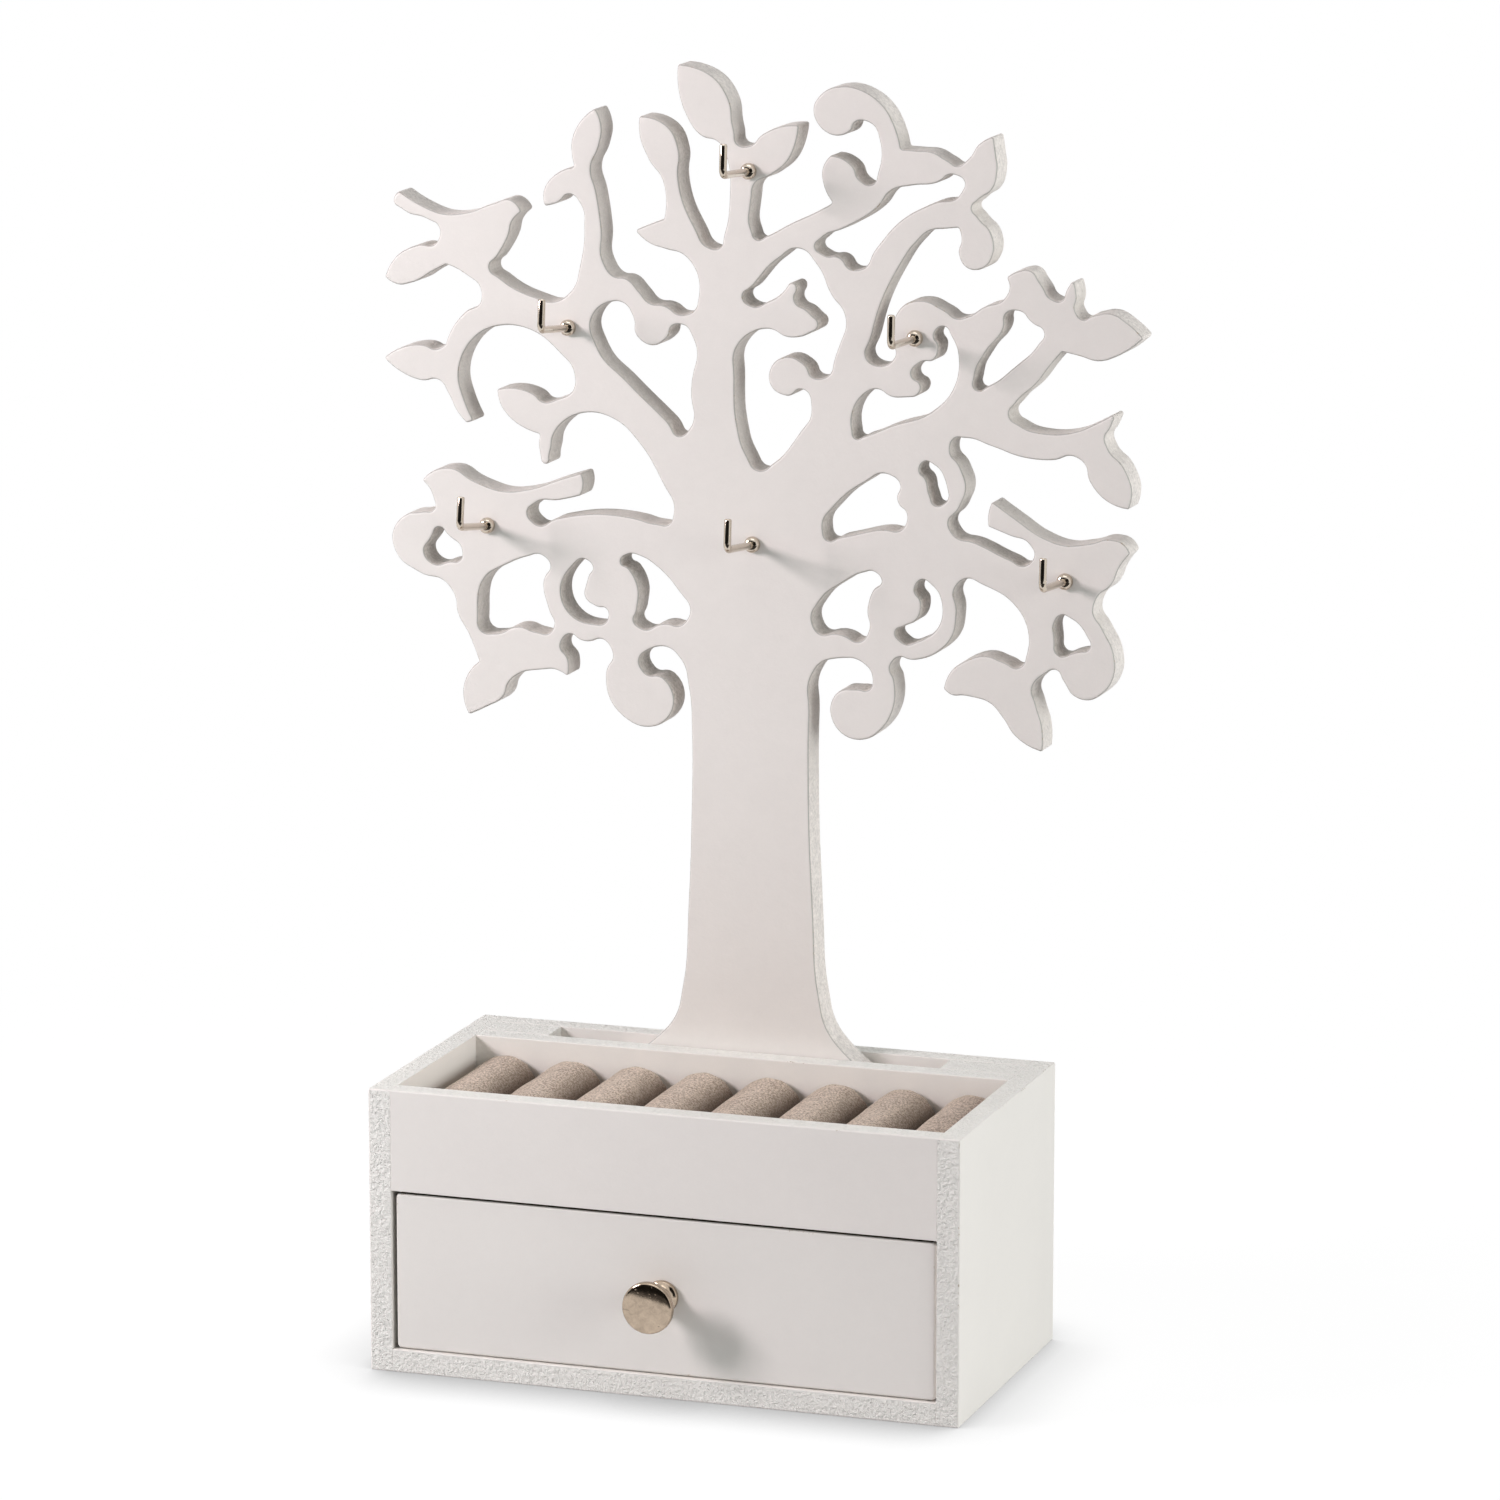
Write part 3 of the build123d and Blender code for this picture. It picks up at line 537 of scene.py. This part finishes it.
class JEWELRYTREE_OT_tree(bpy.types.Operator):
    """Rounds the fretwork's edges over and paints its faces and sawn edges, with painted shade where wood
    stands close across from a sawn edge
    """
    bl_idname = "jewelrytree.tree"
    bl_label = "Fretwork tree"

    def execute(self, context):
        paint = context.scene.jewelrytree_paint
        shape = merged_copy("tree_panel")
        low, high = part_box("tree_panel")
        for plane, inward in ((low.y, 1), (high.y, -1)):
            faces = [face for face in shape.faces
                     if all(abs(vert.co.y - plane) < TOUCH for vert in face.verts)]
            verts = list({vert for face in faces for vert in face.verts})
            bmesh.ops.translate(shape, verts=verts, vec=(0, inward * paint.tree_ease, 0))
            for across, up in ROUND_OVER_SHARES:
                bmesh.ops.inset_region(shape, faces=faces, thickness=across * paint.tree_ease,
                                       depth=up * paint.tree_ease, use_boundary=True, use_even_offset=True)
        shape.normal_update()
        self.shelter(shape, (low.y + high.y) / 2)
        for face in shape.faces:
            facing = abs(face.normal.y)
            face.material_index = 0 if facing > FACE else 1 if facing < SAWN else 2
        materials = (
            paint_material("tree_face_paint", paint.tree_color, peel=0.0001, contrast=0.03),
            paint_material("tree_sawn_edge_paint", paint.sawn_color, peel=0.0005, pits=0.35, stipple=900,
                           contrast=0.18, speckle=1.0, thin=paint.recess_shade_color),
            rubbed_material("tree_rubbed_edge_paint", paint.tree_color, paint.fleck_color, wear=1.0),
        )
        crisp(finished("tree_fretwork", shape, materials, "tree_paint", "tree_panel"))
        return {"FINISHED"}

    def shelter(self, shape, middle):
        """Notes from 0 to 1 how closely wood stands across from each point of a sawn edge, as the mask for
        painted shade.
        """
        wood = BVHTree.FromBMesh(shape)
        closeness = shape.verts.layers.float.new("shelter")
        for vert in shape.verts:
            outward = sum((face.normal for face in vert.link_faces if abs(face.normal.y) < SAWN), Vector())
            outward.y = 0
            if outward.length < SAWN:
                continue
            outward.normalize()
            begin = Vector((vert.co.x, middle, vert.co.z)) + outward * RECESS_SHADE_GAP
            for angle in RECESS_SHADE_FAN:
                distance = wood.ray_cast(begin, Matrix.Rotation(angle, 3, "Y") @ outward, RECESS_SHADE_REACH)[3]
                if distance is not None:
                    vert[closeness] += (1 - distance / RECESS_SHADE_REACH) / len(RECESS_SHADE_FAN)


class JEWELRYTREE_OT_box(bpy.types.Operator):
    """Eases the box's boards and paints their faces and edges"""
    bl_idname = "jewelrytree.box"
    bl_label = "Box boards"

    def execute(self, context):
        paint = context.scene.jewelrytree_paint
        corners = [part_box(node) for node in BOX_BOARDS]
        low = [min(corner[0][axis] for corner in corners) for axis in range(3)]
        high = [max(corner[1][axis] for corner in corners) for axis in range(3)]
        materials = (
            paint_material("box_face_paint", paint.box_color, peel=0.00006),
            paint_material("box_edge_paint", paint.edge_color, peel=0.0011, pits=0.2, stipple=750,
                           contrast=0.05, speckle=1.0),
            rubbed_material("box_rubbed_edge_paint", paint.box_color, paint.fleck_color),
        )
        other_coats = {
            # The tray's rear wall gets a shaded copy of the box paint as painted shade
            "tray_rear_wall": (paint_material("tray_wall_paint", paint.tray_wall_shade_color, peel=0.00006),
                               *materials[1:]),
            # The fascia's underside is bare board darkened as painted shadow over the drawer's gap
            "front_fascia": (*materials, bare_shaded_material("fascia_bare_edge", paint.bare_edge_shade_color)),
        }
        for node in BOX_BOARDS:
            shape = merged_copy(node)
            joined_flats(shape)
            outer = [edge for edge in shape.edges if on_outer_edge(edge, low, high)]
            if outer:
                eased(shape, outer, paint.outer_ease, 3)
            lips = [edge for edge in square_edges(shape, 0) if runs_along_x(edge)]
            if lips:
                eased(shape, lips, paint.lip_ease, 2)
            eased(shape, square_edges(shape, 0), paint.seam_ease, 2)
            coated(shape, node, -1 if node == "front_fascia" else 0)
            crisp(finished(f"painted_{node}", shape, other_coats.get(node, materials), "box_paint", node))
        return {"FINISHED"}


class JEWELRYTREE_OT_drawer(bpy.types.Operator):
    """Eases and paints the drawer's boards"""
    bl_idname = "jewelrytree.drawer"
    bl_label = "Drawer boards"

    def execute(self, context):
        paint = context.scene.jewelrytree_paint
        materials = (
            paint_material("drawer_face_paint", paint.drawer_color, peel=0.00004),
            paint_material("drawer_edge_paint", paint.edge_color, peel=0.00018, pits=0.25),
            rubbed_material("drawer_rubbed_edge_paint", paint.drawer_color, paint.fleck_color),
            bare_shaded_material("drawer_bare_edge", paint.bare_edge_shade_color),
        )
        for node in DRAWER_BOARDS:
            shape = merged_copy(node)
            joined_flats(shape)
            eased(shape, square_edges(shape, 10 * paint.drawer_ease), paint.drawer_ease, 2)
            coated(shape, node, 1 if node == "drawer_front" else 0)
            # The drawer front's top edge is bare board darkened as painted shadow under the fascia
            coats = materials if node == "drawer_front" else materials[:3]
            crisp(finished(f"painted_{node}", shape, coats, "drawer_paint", node))
        return {"FINISHED"}


class JEWELRYTREE_OT_rolls(bpy.types.Operator):
    """Pads the ring rolls: suede over foam, gathered at the ends and pressed side by side"""
    bl_idname = "jewelrytree.rolls"
    bl_label = "Ring rolls"

    def execute(self, context):
        rolls = context.scene.jewelrytree_rolls
        suede = suede_material("roll_suede", rolls.light_color, rolls.dark_color)
        lows = [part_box(node)[0].x for node in ROLLS]
        pitch = (max(lows) - min(lows)) / (len(lows) - 1)
        boxes = [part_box(node) for node in ROLLS]
        shapes = [self.tube(low, high, rolls) for low, high in boxes]
        for number, (shape, corners) in enumerate(zip(shapes, boxes)):
            self.upholster(shape, *corners, rolls, number)
        self.settle(context.scene, shapes, boxes, rolls)
        for node, shape, corners in zip(ROLLS, shapes, boxes):
            self.fit(shape, *corners, pitch / 2 - rolls.press_gap / 2)
            piece = finished(f"suede_{node}", shape, (suede,), "roll_suede", node)
            piece.data.shade_smooth()
        return {"FINISHED"}

    def tube(self, low, high, rolls):
        """A closed tube with rounded ends, a little smaller than the space between two corners."""
        shape = bmesh.new()
        radius = (high.x - low.x) / 2 - rolls.slack
        bmesh.ops.create_cone(shape, cap_ends=True, segments=ROLL_STEPS, radius1=radius, radius2=radius,
                              depth=high.y - low.y - 2 * rolls.slack)
        rims = [edge for edge in shape.edges if abs(edge.verts[0].co.z - edge.verts[1].co.z) < TOUCH]
        eased(shape, rims, rolls.end_round, 6)
        long_edges = [edge for edge in shape.edges if edge.calc_length() > (high.y - low.y) / 2]
        bmesh.ops.subdivide_edges(shape, edges=long_edges, cuts=ROLL_RINGS, use_grid_fill=True)
        caps = [face for face in shape.faces if len(face.verts) > 4]
        step = (radius - rolls.end_round) / (CAP_RINGS + 1)
        for ring in range(CAP_RINGS):
            bmesh.ops.inset_individual(shape, faces=caps, thickness=step, use_even_offset=True)
        bmesh.ops.poke(shape, faces=caps)
        bmesh.ops.rotate(shape, verts=shape.verts, cent=(0, 0, 0), matrix=Matrix.Rotation(pi / 2, 3, "X"))
        bmesh.ops.translate(shape, verts=shape.verts, vec=(low + high) / 2)
        return shape

    def upholster(self, shape, low, high, rolls, number):
        """Gives the tube the foam's lumps and the cover's gathers at its ends."""
        middle = (low + high) / 2
        radius = (high.x - low.x) / 2
        for vert in shape.verts:
            place = vert.co - middle
            around = atan2(place.z, place.x)
            outward = Vector((cos(around), 0, sin(around)))
            lump = noise.noise(vert.co * LUMP_WAVES + Vector((0, 0, 7.3 * number)))
            end = min(vert.co.y - low.y, high.y - vert.co.y)
            near = max(0.0, 1 - end / (FOLD_REACH * rolls.end_round))
            out = min(1.0, Vector((place.x, place.z)).length / radius)
            fold = cos(END_FOLDS * around + 2.1 * number + 3 * lump) * near * near
            vert.co += outward * out * (rolls.lumps * (0.6 + lump) - rolls.gathers * (0.4 + fold) * near)

    def settle(self, scene, shapes, boxes, rolls):
        """Lets the covers settle as cloth over the foam, at a cushion's size, and takes the result."""
        covers = [self.cover(scene, shape, (low + high) / 2) for shape, (low, high) in zip(shapes, boxes)]
        for frame_number in range(1, SETTLE_FRAMES + 1):
            scene.frame_set(frame_number)
        view = bpy.context.evaluated_depsgraph_get()
        for cover, shape, (low, high) in zip(covers, shapes, boxes):
            settled = cover.evaluated_get(view).data
            for vert, point in zip(shape.verts, settled.vertices):
                way = (low + high) / 2 + point.co / CUSHION_SCALE - vert.co
                vert.co += way * min(1.0, rolls.swell / max(way.length, MERGE))
        for cover in covers:
            mesh = cover.data
            bpy.data.objects.remove(cover)
            bpy.data.meshes.remove(mesh)
        scene.frame_set(1)

    def cover(self, scene, shape, middle):
        """One roll's cover at a cushion's size, with its end seams held and air inside for the foam."""
        mesh = bpy.data.meshes.new("cover")
        shape.to_mesh(mesh)
        cover = bpy.data.objects.new("cover", mesh)
        scene.collection.objects.link(cover)
        reach = max(abs(vert.co.y - middle.y) for vert in mesh.vertices)
        held = [vert.index for vert in mesh.vertices if abs(vert.co.y - middle.y) > reach - TOUCH]
        for vert in mesh.vertices:
            vert.co = (vert.co - middle) * CUSHION_SCALE
        cover.vertex_groups.new(name="seam").add(held, 1.0, "REPLACE")
        cloth = cover.modifiers.new("Cover", "CLOTH").settings
        cloth.quality = 6
        cloth.mass = 0.3
        cloth.tension_stiffness = cloth.compression_stiffness = 12
        cloth.bending_stiffness = 0.6
        cloth.use_pressure = True
        cloth.uniform_pressure_force = 4
        cloth.effector_weights.gravity = 0
        cloth.vertex_group_mass = "seam"
        return cover

    def fit(self, shape, low, high, reach):
        """Keeps a roll in its space, flat where it presses on the tray and on its neighbours, and notes
        painted shade over its right flank and where it meets its neighbours.
        """
        middle = (low + high) / 2
        # Painted shade: darker over the right flank, and where the roll meets its neighbours
        crease = shape.verts.layers.float.new("crease")
        for vert in shape.verts:
            aside = (vert.co.x - middle.x) / reach
            laid = ramp(aside, *FLANK_SHADE) ** 1.5
            vert[crease] = max(0.9 * laid, ramp(abs(aside), *CONTACT_SHADE))
            vert.co.x = middle.x + max(-reach, min(reach, vert.co.x - middle.x))
            vert.co.y = max(low.y, min(high.y, vert.co.y))
            vert.co.z = max(low.z, min(high.z, vert.co.z))


class JEWELRYTREE_OT_liner(bpy.types.Operator):
    """Lays the felt liner in the drawer"""
    bl_idname = "jewelrytree.liner"
    bl_label = "Drawer liner"

    def execute(self, context):
        rolls = context.scene.jewelrytree_rolls
        low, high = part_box("drawer_liner")
        size = high - low
        shape = bmesh.new()
        bmesh.ops.create_cube(shape, size=1)
        bmesh.ops.scale(shape, verts=shape.verts, vec=size)
        bmesh.ops.translate(shape, verts=shape.verts, vec=(low + high) / 2)
        for axis, cuts in enumerate(LINER_CUTS):
            runs = [edge for edge in shape.edges
                    if abs(edge.verts[0].co[axis] - edge.verts[1].co[axis]) > size[axis] / 2]
            bmesh.ops.subdivide_edges(shape, edges=runs, cuts=cuts, use_grid_fill=True)
        upper = [edge for edge in square_edges(shape, 0)
                 if all(abs(vert.co.z - high.z) < TOUCH for vert in edge.verts)]
        eased(shape, upper, size.z * LINER_ROUND, 3)
        for vert in shape.verts:
            if vert.co.z > low.z + size.z * 0.4:
                vert.co.z -= size.z * LINER_DIP * (0.5 + 0.5 * noise.noise(vert.co * LINER_WAVES))
        felt = suede_material("liner_felt", tinted(rolls.liner_color, 1.25)[:3],
                              tinted(rolls.liner_color, 0.8)[:3])
        piece = finished("felt_drawer_liner", shape, (felt,), "liner_felt", "drawer_liner")
        crisp(piece)
        return {"FINISHED"}


def turned(shape, shares, radius, reach, steps):
    """Turns an outline of radius and height shares about the Z axis."""
    verts = [shape.verts.new((across * radius, 0, up * reach)) for across, up in shares]
    edges = [shape.edges.new(pair) for pair in zip(verts, verts[1:])]
    bmesh.ops.spin(shape, geom=verts + edges, cent=(0, 0, 0), axis=(0, 0, 1), angle=2 * pi, steps=steps,
                   use_merge=True)
    return shape


def closed_up(shape):
    """Merges doubles, closes open rims and turns all faces outwards."""
    bmesh.ops.remove_doubles(shape, verts=shape.verts, dist=MERGE)
    bmesh.ops.holes_fill(shape, edges=[edge for edge in shape.edges if edge.is_boundary])
    bmesh.ops.recalc_face_normals(shape, faces=shape.faces)


class JEWELRYTREE_OT_hooks(bpy.types.Operator):
    """Bends the hooks from wire with turned collars and plates them"""
    bl_idname = "jewelrytree.hooks"
    bl_label = "Hooks"

    def execute(self, context):
        metal = context.scene.jewelrytree_metal
        nickel = metal_material("hook_nickel", metal.nickel_color, smooth=0.07, scratch=0.000012)
        for node in HOOKS:
            low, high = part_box(node)
            seat = Vector(((low.x + high.x) / 2, high.y - metal.screw_length, low.z + metal.collar / 2))
            shape = self.wire(metal, self.tilt(metal, high.z - seat.z))
            turned(shape, COLLAR_SHARES, metal.collar / 2, metal.collar_thickness, TURNED_STEPS)
            closed_up(shape)
            bmesh.ops.rotate(shape, verts=shape.verts, cent=(0, 0, 0), matrix=Matrix.Rotation(pi / 2, 3, "X"))
            bmesh.ops.translate(shape, verts=shape.verts, vec=seat)
            piece = finished(f"nickel_{node}", shape, (nickel,), "nickel", node)
            piece.data.shade_smooth()
            piece.data.set_sharp_from_angle(angle=CORNER_ANGLE)
        return {"FINISHED"}

    def tilt(self, metal, height):
        """How far a hook's wire rises from level, from the height of its end above its seat."""
        ease = metal.wire / 4
        along, upright = metal.reach + metal.wire / 2 - ease, metal.rise - ease
        return asin((height - ease) / hypot(along, upright)) - atan2(upright, along)

    def wire(self, metal, tilt):
        """The tilted wire with its bend and rounded end, and the screw that goes into the board."""
        shape = bmesh.new()
        radius = metal.wire / 2
        straight = metal.reach - metal.bend
        ring = bmesh.ops.create_circle(shape, cap_ends=False, segments=WIRE_STEPS, radius=radius)["verts"]
        edges = list({edge for vert in ring for edge in vert.link_edges})
        ends = self.extruded(shape, edges, (0, 0, straight))
        turn = bmesh.ops.spin(shape, geom=ends, cent=(0, metal.bend, straight), axis=(-1, 0, 0), angle=pi / 2,
                              steps=BEND_STEPS)
        ends = [item for item in turn["geom_last"] if isinstance(item, bmesh.types.BMEdge)]
        ends = self.extruded(shape, ends, (0, metal.rise - metal.bend, 0))
        cap = bmesh.ops.holes_fill(shape, edges=ends)["faces"]
        eased(shape, list(cap[0].edges), radius / 2, 3)
        bmesh.ops.rotate(shape, verts=shape.verts, cent=(0, 0, 0), matrix=Matrix.Rotation(-tilt, 3, "X"))
        bmesh.ops.translate(shape, verts=shape.verts, vec=(0, 0, metal.collar_thickness / 2))
        screw = bmesh.ops.create_cone(shape, cap_ends=True, segments=WIRE_STEPS, radius1=radius * 0.35,
                                      radius2=radius,
                                      depth=metal.screw_length + metal.collar_thickness / 2)["verts"]
        middle = (metal.collar_thickness / 2 - metal.screw_length) / 2
        bmesh.ops.translate(shape, verts=screw, vec=(0, 0, middle))
        return shape

    def extruded(self, shape, edges, way):
        """Draws a ring of edges out and returns the new ring."""
        made = bmesh.ops.extrude_edge_only(shape, edges=edges)["geom"]
        verts = [item for item in made if isinstance(item, bmesh.types.BMVert)]
        bmesh.ops.translate(shape, verts=verts, vec=way)
        return [item for item in made if isinstance(item, bmesh.types.BMEdge) and len(item.link_faces) == 1]


class JEWELRYTREE_OT_knob(bpy.types.Operator):
    """Turns the drawer's knob and cuts its screw"""
    bl_idname = "jewelrytree.knob"
    bl_label = "Knob and screw"

    def execute(self, context):
        metal = context.scene.jewelrytree_metal
        low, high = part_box("drawer_knob")
        foot = Vector(((low.x + high.x) / 2, high.y, (low.z + high.z) / 2))
        shape = turned(bmesh.new(), KNOB_SHARES, (high.x - low.x) / 2, high.y - low.y, metal.knob_turns)
        closed_up(shape)
        bmesh.ops.poke(shape, faces=[face for face in shape.faces if len(face.verts) > 4])
        self.placed(shape, foot)
        nickel = metal_material("knob_nickel", metal.knob_color, smooth=0.09, scratch=0.00003, patina=0.2)
        knob = finished("nickel_drawer_knob", shape, (nickel,), "nickel", "drawer_knob")
        knob.data.shade_smooth()
        rounded = knob.modifiers.new("Turned curves", "SUBSURF")
        rounded.levels = rounded.render_levels = 1
        shape = self.screw(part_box("knob_screw"))
        self.placed(shape, foot)
        zinc = metal_material("screw_zinc", metal.zinc_color, smooth=0.24, scratch=0.00002)
        screw = finished("zinc_knob_screw", shape, (zinc,), "screw_steel", "knob_screw")
        screw.data.shade_smooth()
        screw.data.set_sharp_from_angle(angle=CORNER_ANGLE)
        return {"FINISHED"}

    def placed(self, shape, foot):
        """Lays a piece that was turned about Z along the drawer's face normal."""
        bmesh.ops.rotate(shape, verts=shape.verts, cent=(0, 0, 0), matrix=Matrix.Rotation(pi / 2, 3, "X"))
        bmesh.ops.translate(shape, verts=shape.verts, vec=foot)

    def screw(self, box):
        """A pan head with a cross recess, and its stem."""
        low, high = box
        radius = (high.x - low.x) / 2
        front_low, front_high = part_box("drawer_front")
        under = front_high.y - front_low.y
        head = high.y - front_high.y
        outline = [(across, -under / head - up) for across, up in SCREW_SHARES]
        shape = turned(bmesh.new(), outline, radius, head, TURNED_STEPS)
        closed_up(shape)
        width = radius * CROSS_WIDTH
        for axis in ((1, 0, 0), (0, 1, 0)):
            for side in (-width, width):
                bmesh.ops.bisect_plane(shape, geom=list(shape.verts) + list(shape.edges) + list(shape.faces),
                                       plane_co=Vector(axis) * side, plane_no=axis, dist=MERGE)
        top = -under - head
        cross = [face for face in shape.faces
                 if all(abs(vert.co.z - top) < TOUCH for vert in face.verts)
                 and min(abs(face.calc_center_median().x), abs(face.calc_center_median().y)) < width * 0.9]
        bmesh.ops.inset_region(shape, faces=cross, thickness=width * 0.15, depth=-head * CROSS_DEPTH,
                               use_even_offset=True)
        stem = bmesh.ops.create_cone(shape, cap_ends=True, segments=WIRE_STEPS, radius1=radius * 0.5,
                                     radius2=radius * 0.5, depth=high.y - low.y - head)["verts"]
        bmesh.ops.translate(shape, verts=stem, vec=(0, 0, (high.y - low.y - head) / 2 - under))
        return shape


class JEWELRYTREE_OT_stage(bpy.types.Operator):
    """Sets the camera, the lamps, the pale floor and the white sky"""
    bl_idname = "jewelrytree.stage"
    bl_label = "Stage"

    def execute(self, context):
        scene = context.scene
        stage = scene.jewelrytree_stage
        scene.view_settings.view_transform = "Standard"
        back = Vector((sin(stage.azimuth) * cos(stage.elevation), -cos(stage.azimuth) * cos(stage.elevation),
                       sin(stage.elevation)))
        camera = bpy.data.objects.new("camera", bpy.data.cameras.new("camera"))
        camera.location = stage.camera_place
        camera.rotation_euler = (-back).to_track_quat("-Z", "Y").to_euler()
        camera.data.lens = stage.lens
        scene.collection.objects.link(camera)
        scene.camera = camera
        for name, size, place, color, mirrored in LAMPS:
            self.lamp(f"{name}_lamp", getattr(stage, name), size, Vector(place), color, mirrored)
        self.floor()
        self.dark_card()
        self.sky(scene, stage.sky)
        return {"FINISHED"}

    def lamp(self, name, power, size, place, color, mirrored):
        """A square lamp that looks at the middle of the object."""
        light = bpy.data.lights.new(name, "AREA")
        light.energy = power
        light.color = color
        light.size = size
        lamp = bpy.data.objects.new(name, light)
        lamp.location = place
        lamp.rotation_euler = (LAMP_AIM - place).to_track_quat("-Z", "Y").to_euler()
        lamp.visible_camera = False
        lamp.visible_glossy = mirrored
        bpy.context.scene.collection.objects.link(lamp)

    def seen(self, start):
        """1 for what the eye sees straight, mirrored or through glass."""
        path = start.node("ShaderNodeLightPath", {}, {}, "Is Camera Ray")
        outputs = path.socket.node.outputs
        mirrored = Signal(start.tree, outputs["Is Glossy Ray"])
        through = Signal(start.tree, outputs["Is Transmission Ray"])
        return start.math("MAXIMUM", start.math("MAXIMUM", path, mirrored), through)

    def floor(self):
        """A pale floor that keeps the object's shadow and is white elsewhere."""
        shape = bmesh.new()
        bmesh.ops.create_grid(shape, x_segments=1, y_segments=1, size=FLOOR_HALF)
        mesh = bpy.data.meshes.new("floor")
        shape.to_mesh(mesh)
        shape.free()
        material = bpy.data.materials.new("floor_white")
        material.use_nodes = True
        tree = material.node_tree
        tree.nodes.clear()
        start = Signal(tree)
        bounce = start.node("ShaderNodeBsdfDiffuse", {}, {"Color": FLOOR_BOUNCE})
        lit = start.node("ShaderNodeBsdfDiffuse", {}, {"Color": FLOOR_LIT})
        open_air = start.node("ShaderNodeAmbientOcclusion", {}, {"Distance": SHADOW_REACH}, "AO")
        place = start.object_place()
        aside = start.math("ABSOLUTE", start.node("ShaderNodeSeparateXYZ", {}, {"Vector": place}, "X"), 0.0)
        shadow = (1.0 - open_air.step(*SHADOW_AIR)) * (1.0 - aside.step(*SHADOW_BESIDE) * SHADOW_THINNED)
        shade = FLOOR_GLOW - shadow * SHADOW_DEPTH
        glow = start.node("ShaderNodeEmission", {}, {"Color": WHITE, "Strength": shade})
        near = start.node("ShaderNodeAddShader", {}, {0: lit, 1: glow})
        white = start.node("ShaderNodeEmission", {}, {"Color": WHITE, "Strength": 1.0})
        away = start.node("ShaderNodeVectorMath", {"operation": "LENGTH"}, {0: place}, "Value")
        shown = start.node("ShaderNodeMixShader", {}, {0: away.step(*FLOOR_FADE), 1: near, 2: white})
        mixed = start.node("ShaderNodeMixShader", {}, {0: self.seen(start), 1: bounce, 2: shown})
        start.node("ShaderNodeOutputMaterial", {}, {"Surface": mixed}, None)
        mesh.materials.append(material)
        floor = bpy.data.objects.new("floor", mesh)
        bpy.context.scene.collection.objects.link(floor)

    def dark_card(self):
        """A dark card, on the floor and upright round the camera, that only reflections show."""
        shape = bmesh.new()
        rim = [shape.verts.new((reach * sin(CARD_BEGIN), -reach * cos(CARD_BEGIN), up))
               for reach, up in CARD_OUTLINE]
        edges = [shape.edges.new(pair) for pair in zip(rim, rim[1:])]
        bmesh.ops.spin(shape, geom=rim + edges, cent=(0, 0, 0), axis=(0, 0, 1), angle=CARD_SWEEP,
                       steps=CARD_STEPS)
        shape.faces.new([shape.verts.new((across, along, CARD_UP)) for across, along in CARD_CORNERS])
        mesh = bpy.data.meshes.new("dark_card")
        shape.to_mesh(mesh)
        shape.free()
        mesh.materials.append(new_material("card_black", Base_Color=CARD_BLACK, Roughness=0.9)[0])
        card = bpy.data.objects.new("dark_card", mesh)
        bpy.context.scene.collection.objects.link(card)
        card.visible_camera = card.visible_diffuse = card.visible_shadow = card.visible_transmission = False

    def sky(self, scene, strength):
        """Even light from all round, and plain white where the eye sees it."""
        world = bpy.data.worlds.new("studio")
        world.use_nodes = True
        scene.world = world
        tree = world.node_tree
        tree.nodes.clear()
        start = Signal(tree)
        light = start.node("ShaderNodeBackground", {}, {"Color": WHITE, "Strength": strength})
        white = start.node("ShaderNodeBackground", {}, {"Color": WHITE, "Strength": 1.0})
        mixed = start.node("ShaderNodeMixShader", {}, {0: self.seen(start), 1: light, 2: white})
        start.node("ShaderNodeOutputWorld", {}, {"Surface": mixed}, None)


OPERATORS = (
    JEWELRYTREE_OT_tree, JEWELRYTREE_OT_box, JEWELRYTREE_OT_drawer, JEWELRYTREE_OT_rolls,
    JEWELRYTREE_OT_liner, JEWELRYTREE_OT_hooks, JEWELRYTREE_OT_knob, JEWELRYTREE_OT_stage,
)


class JEWELRYTREE_PT_panel(bpy.types.Panel):
    """Lists the pieces in the sidebar"""
    bl_idname = "JEWELRYTREE_PT_panel"
    bl_label = "Jewelry Tree"
    bl_space_type = "VIEW_3D"
    bl_region_type = "UI"
    bl_category = "Jewelry Tree"

    def draw(self, context):
        """Gives each piece a button."""
        for operator in OPERATORS:
            self.layout.operator(operator.bl_idname)


SETTINGS = {
    "jewelrytree_paint": PaintSettings, "jewelrytree_rolls": RollSettings,
    "jewelrytree_metal": MetalSettings, "jewelrytree_stage": StageSettings,
}


def register():
    """Makes the settings, the operators and the panel known to Blender."""
    for group in SETTINGS.values():
        bpy.utils.register_class(group)
    for name, group in SETTINGS.items():
        setattr(bpy.types.Scene, name, PointerProperty(type=group))
    for operator in OPERATORS:
        bpy.utils.register_class(operator)
    bpy.utils.register_class(JEWELRYTREE_PT_panel)


def unregister():
    """Takes back what register added."""
    bpy.utils.unregister_class(JEWELRYTREE_PT_panel)
    for operator in reversed(OPERATORS):
        bpy.utils.unregister_class(operator)
    for name, group in SETTINGS.items():
        delattr(bpy.types.Scene, name)
        bpy.utils.unregister_class(group)


def main():
    """Makes every piece and the stage."""
    register()
    for operator in OPERATORS:
        family, action = operator.bl_idname.split(".")
        getattr(getattr(bpy.ops, family), action)()


if __name__ == "__main__":
    main()
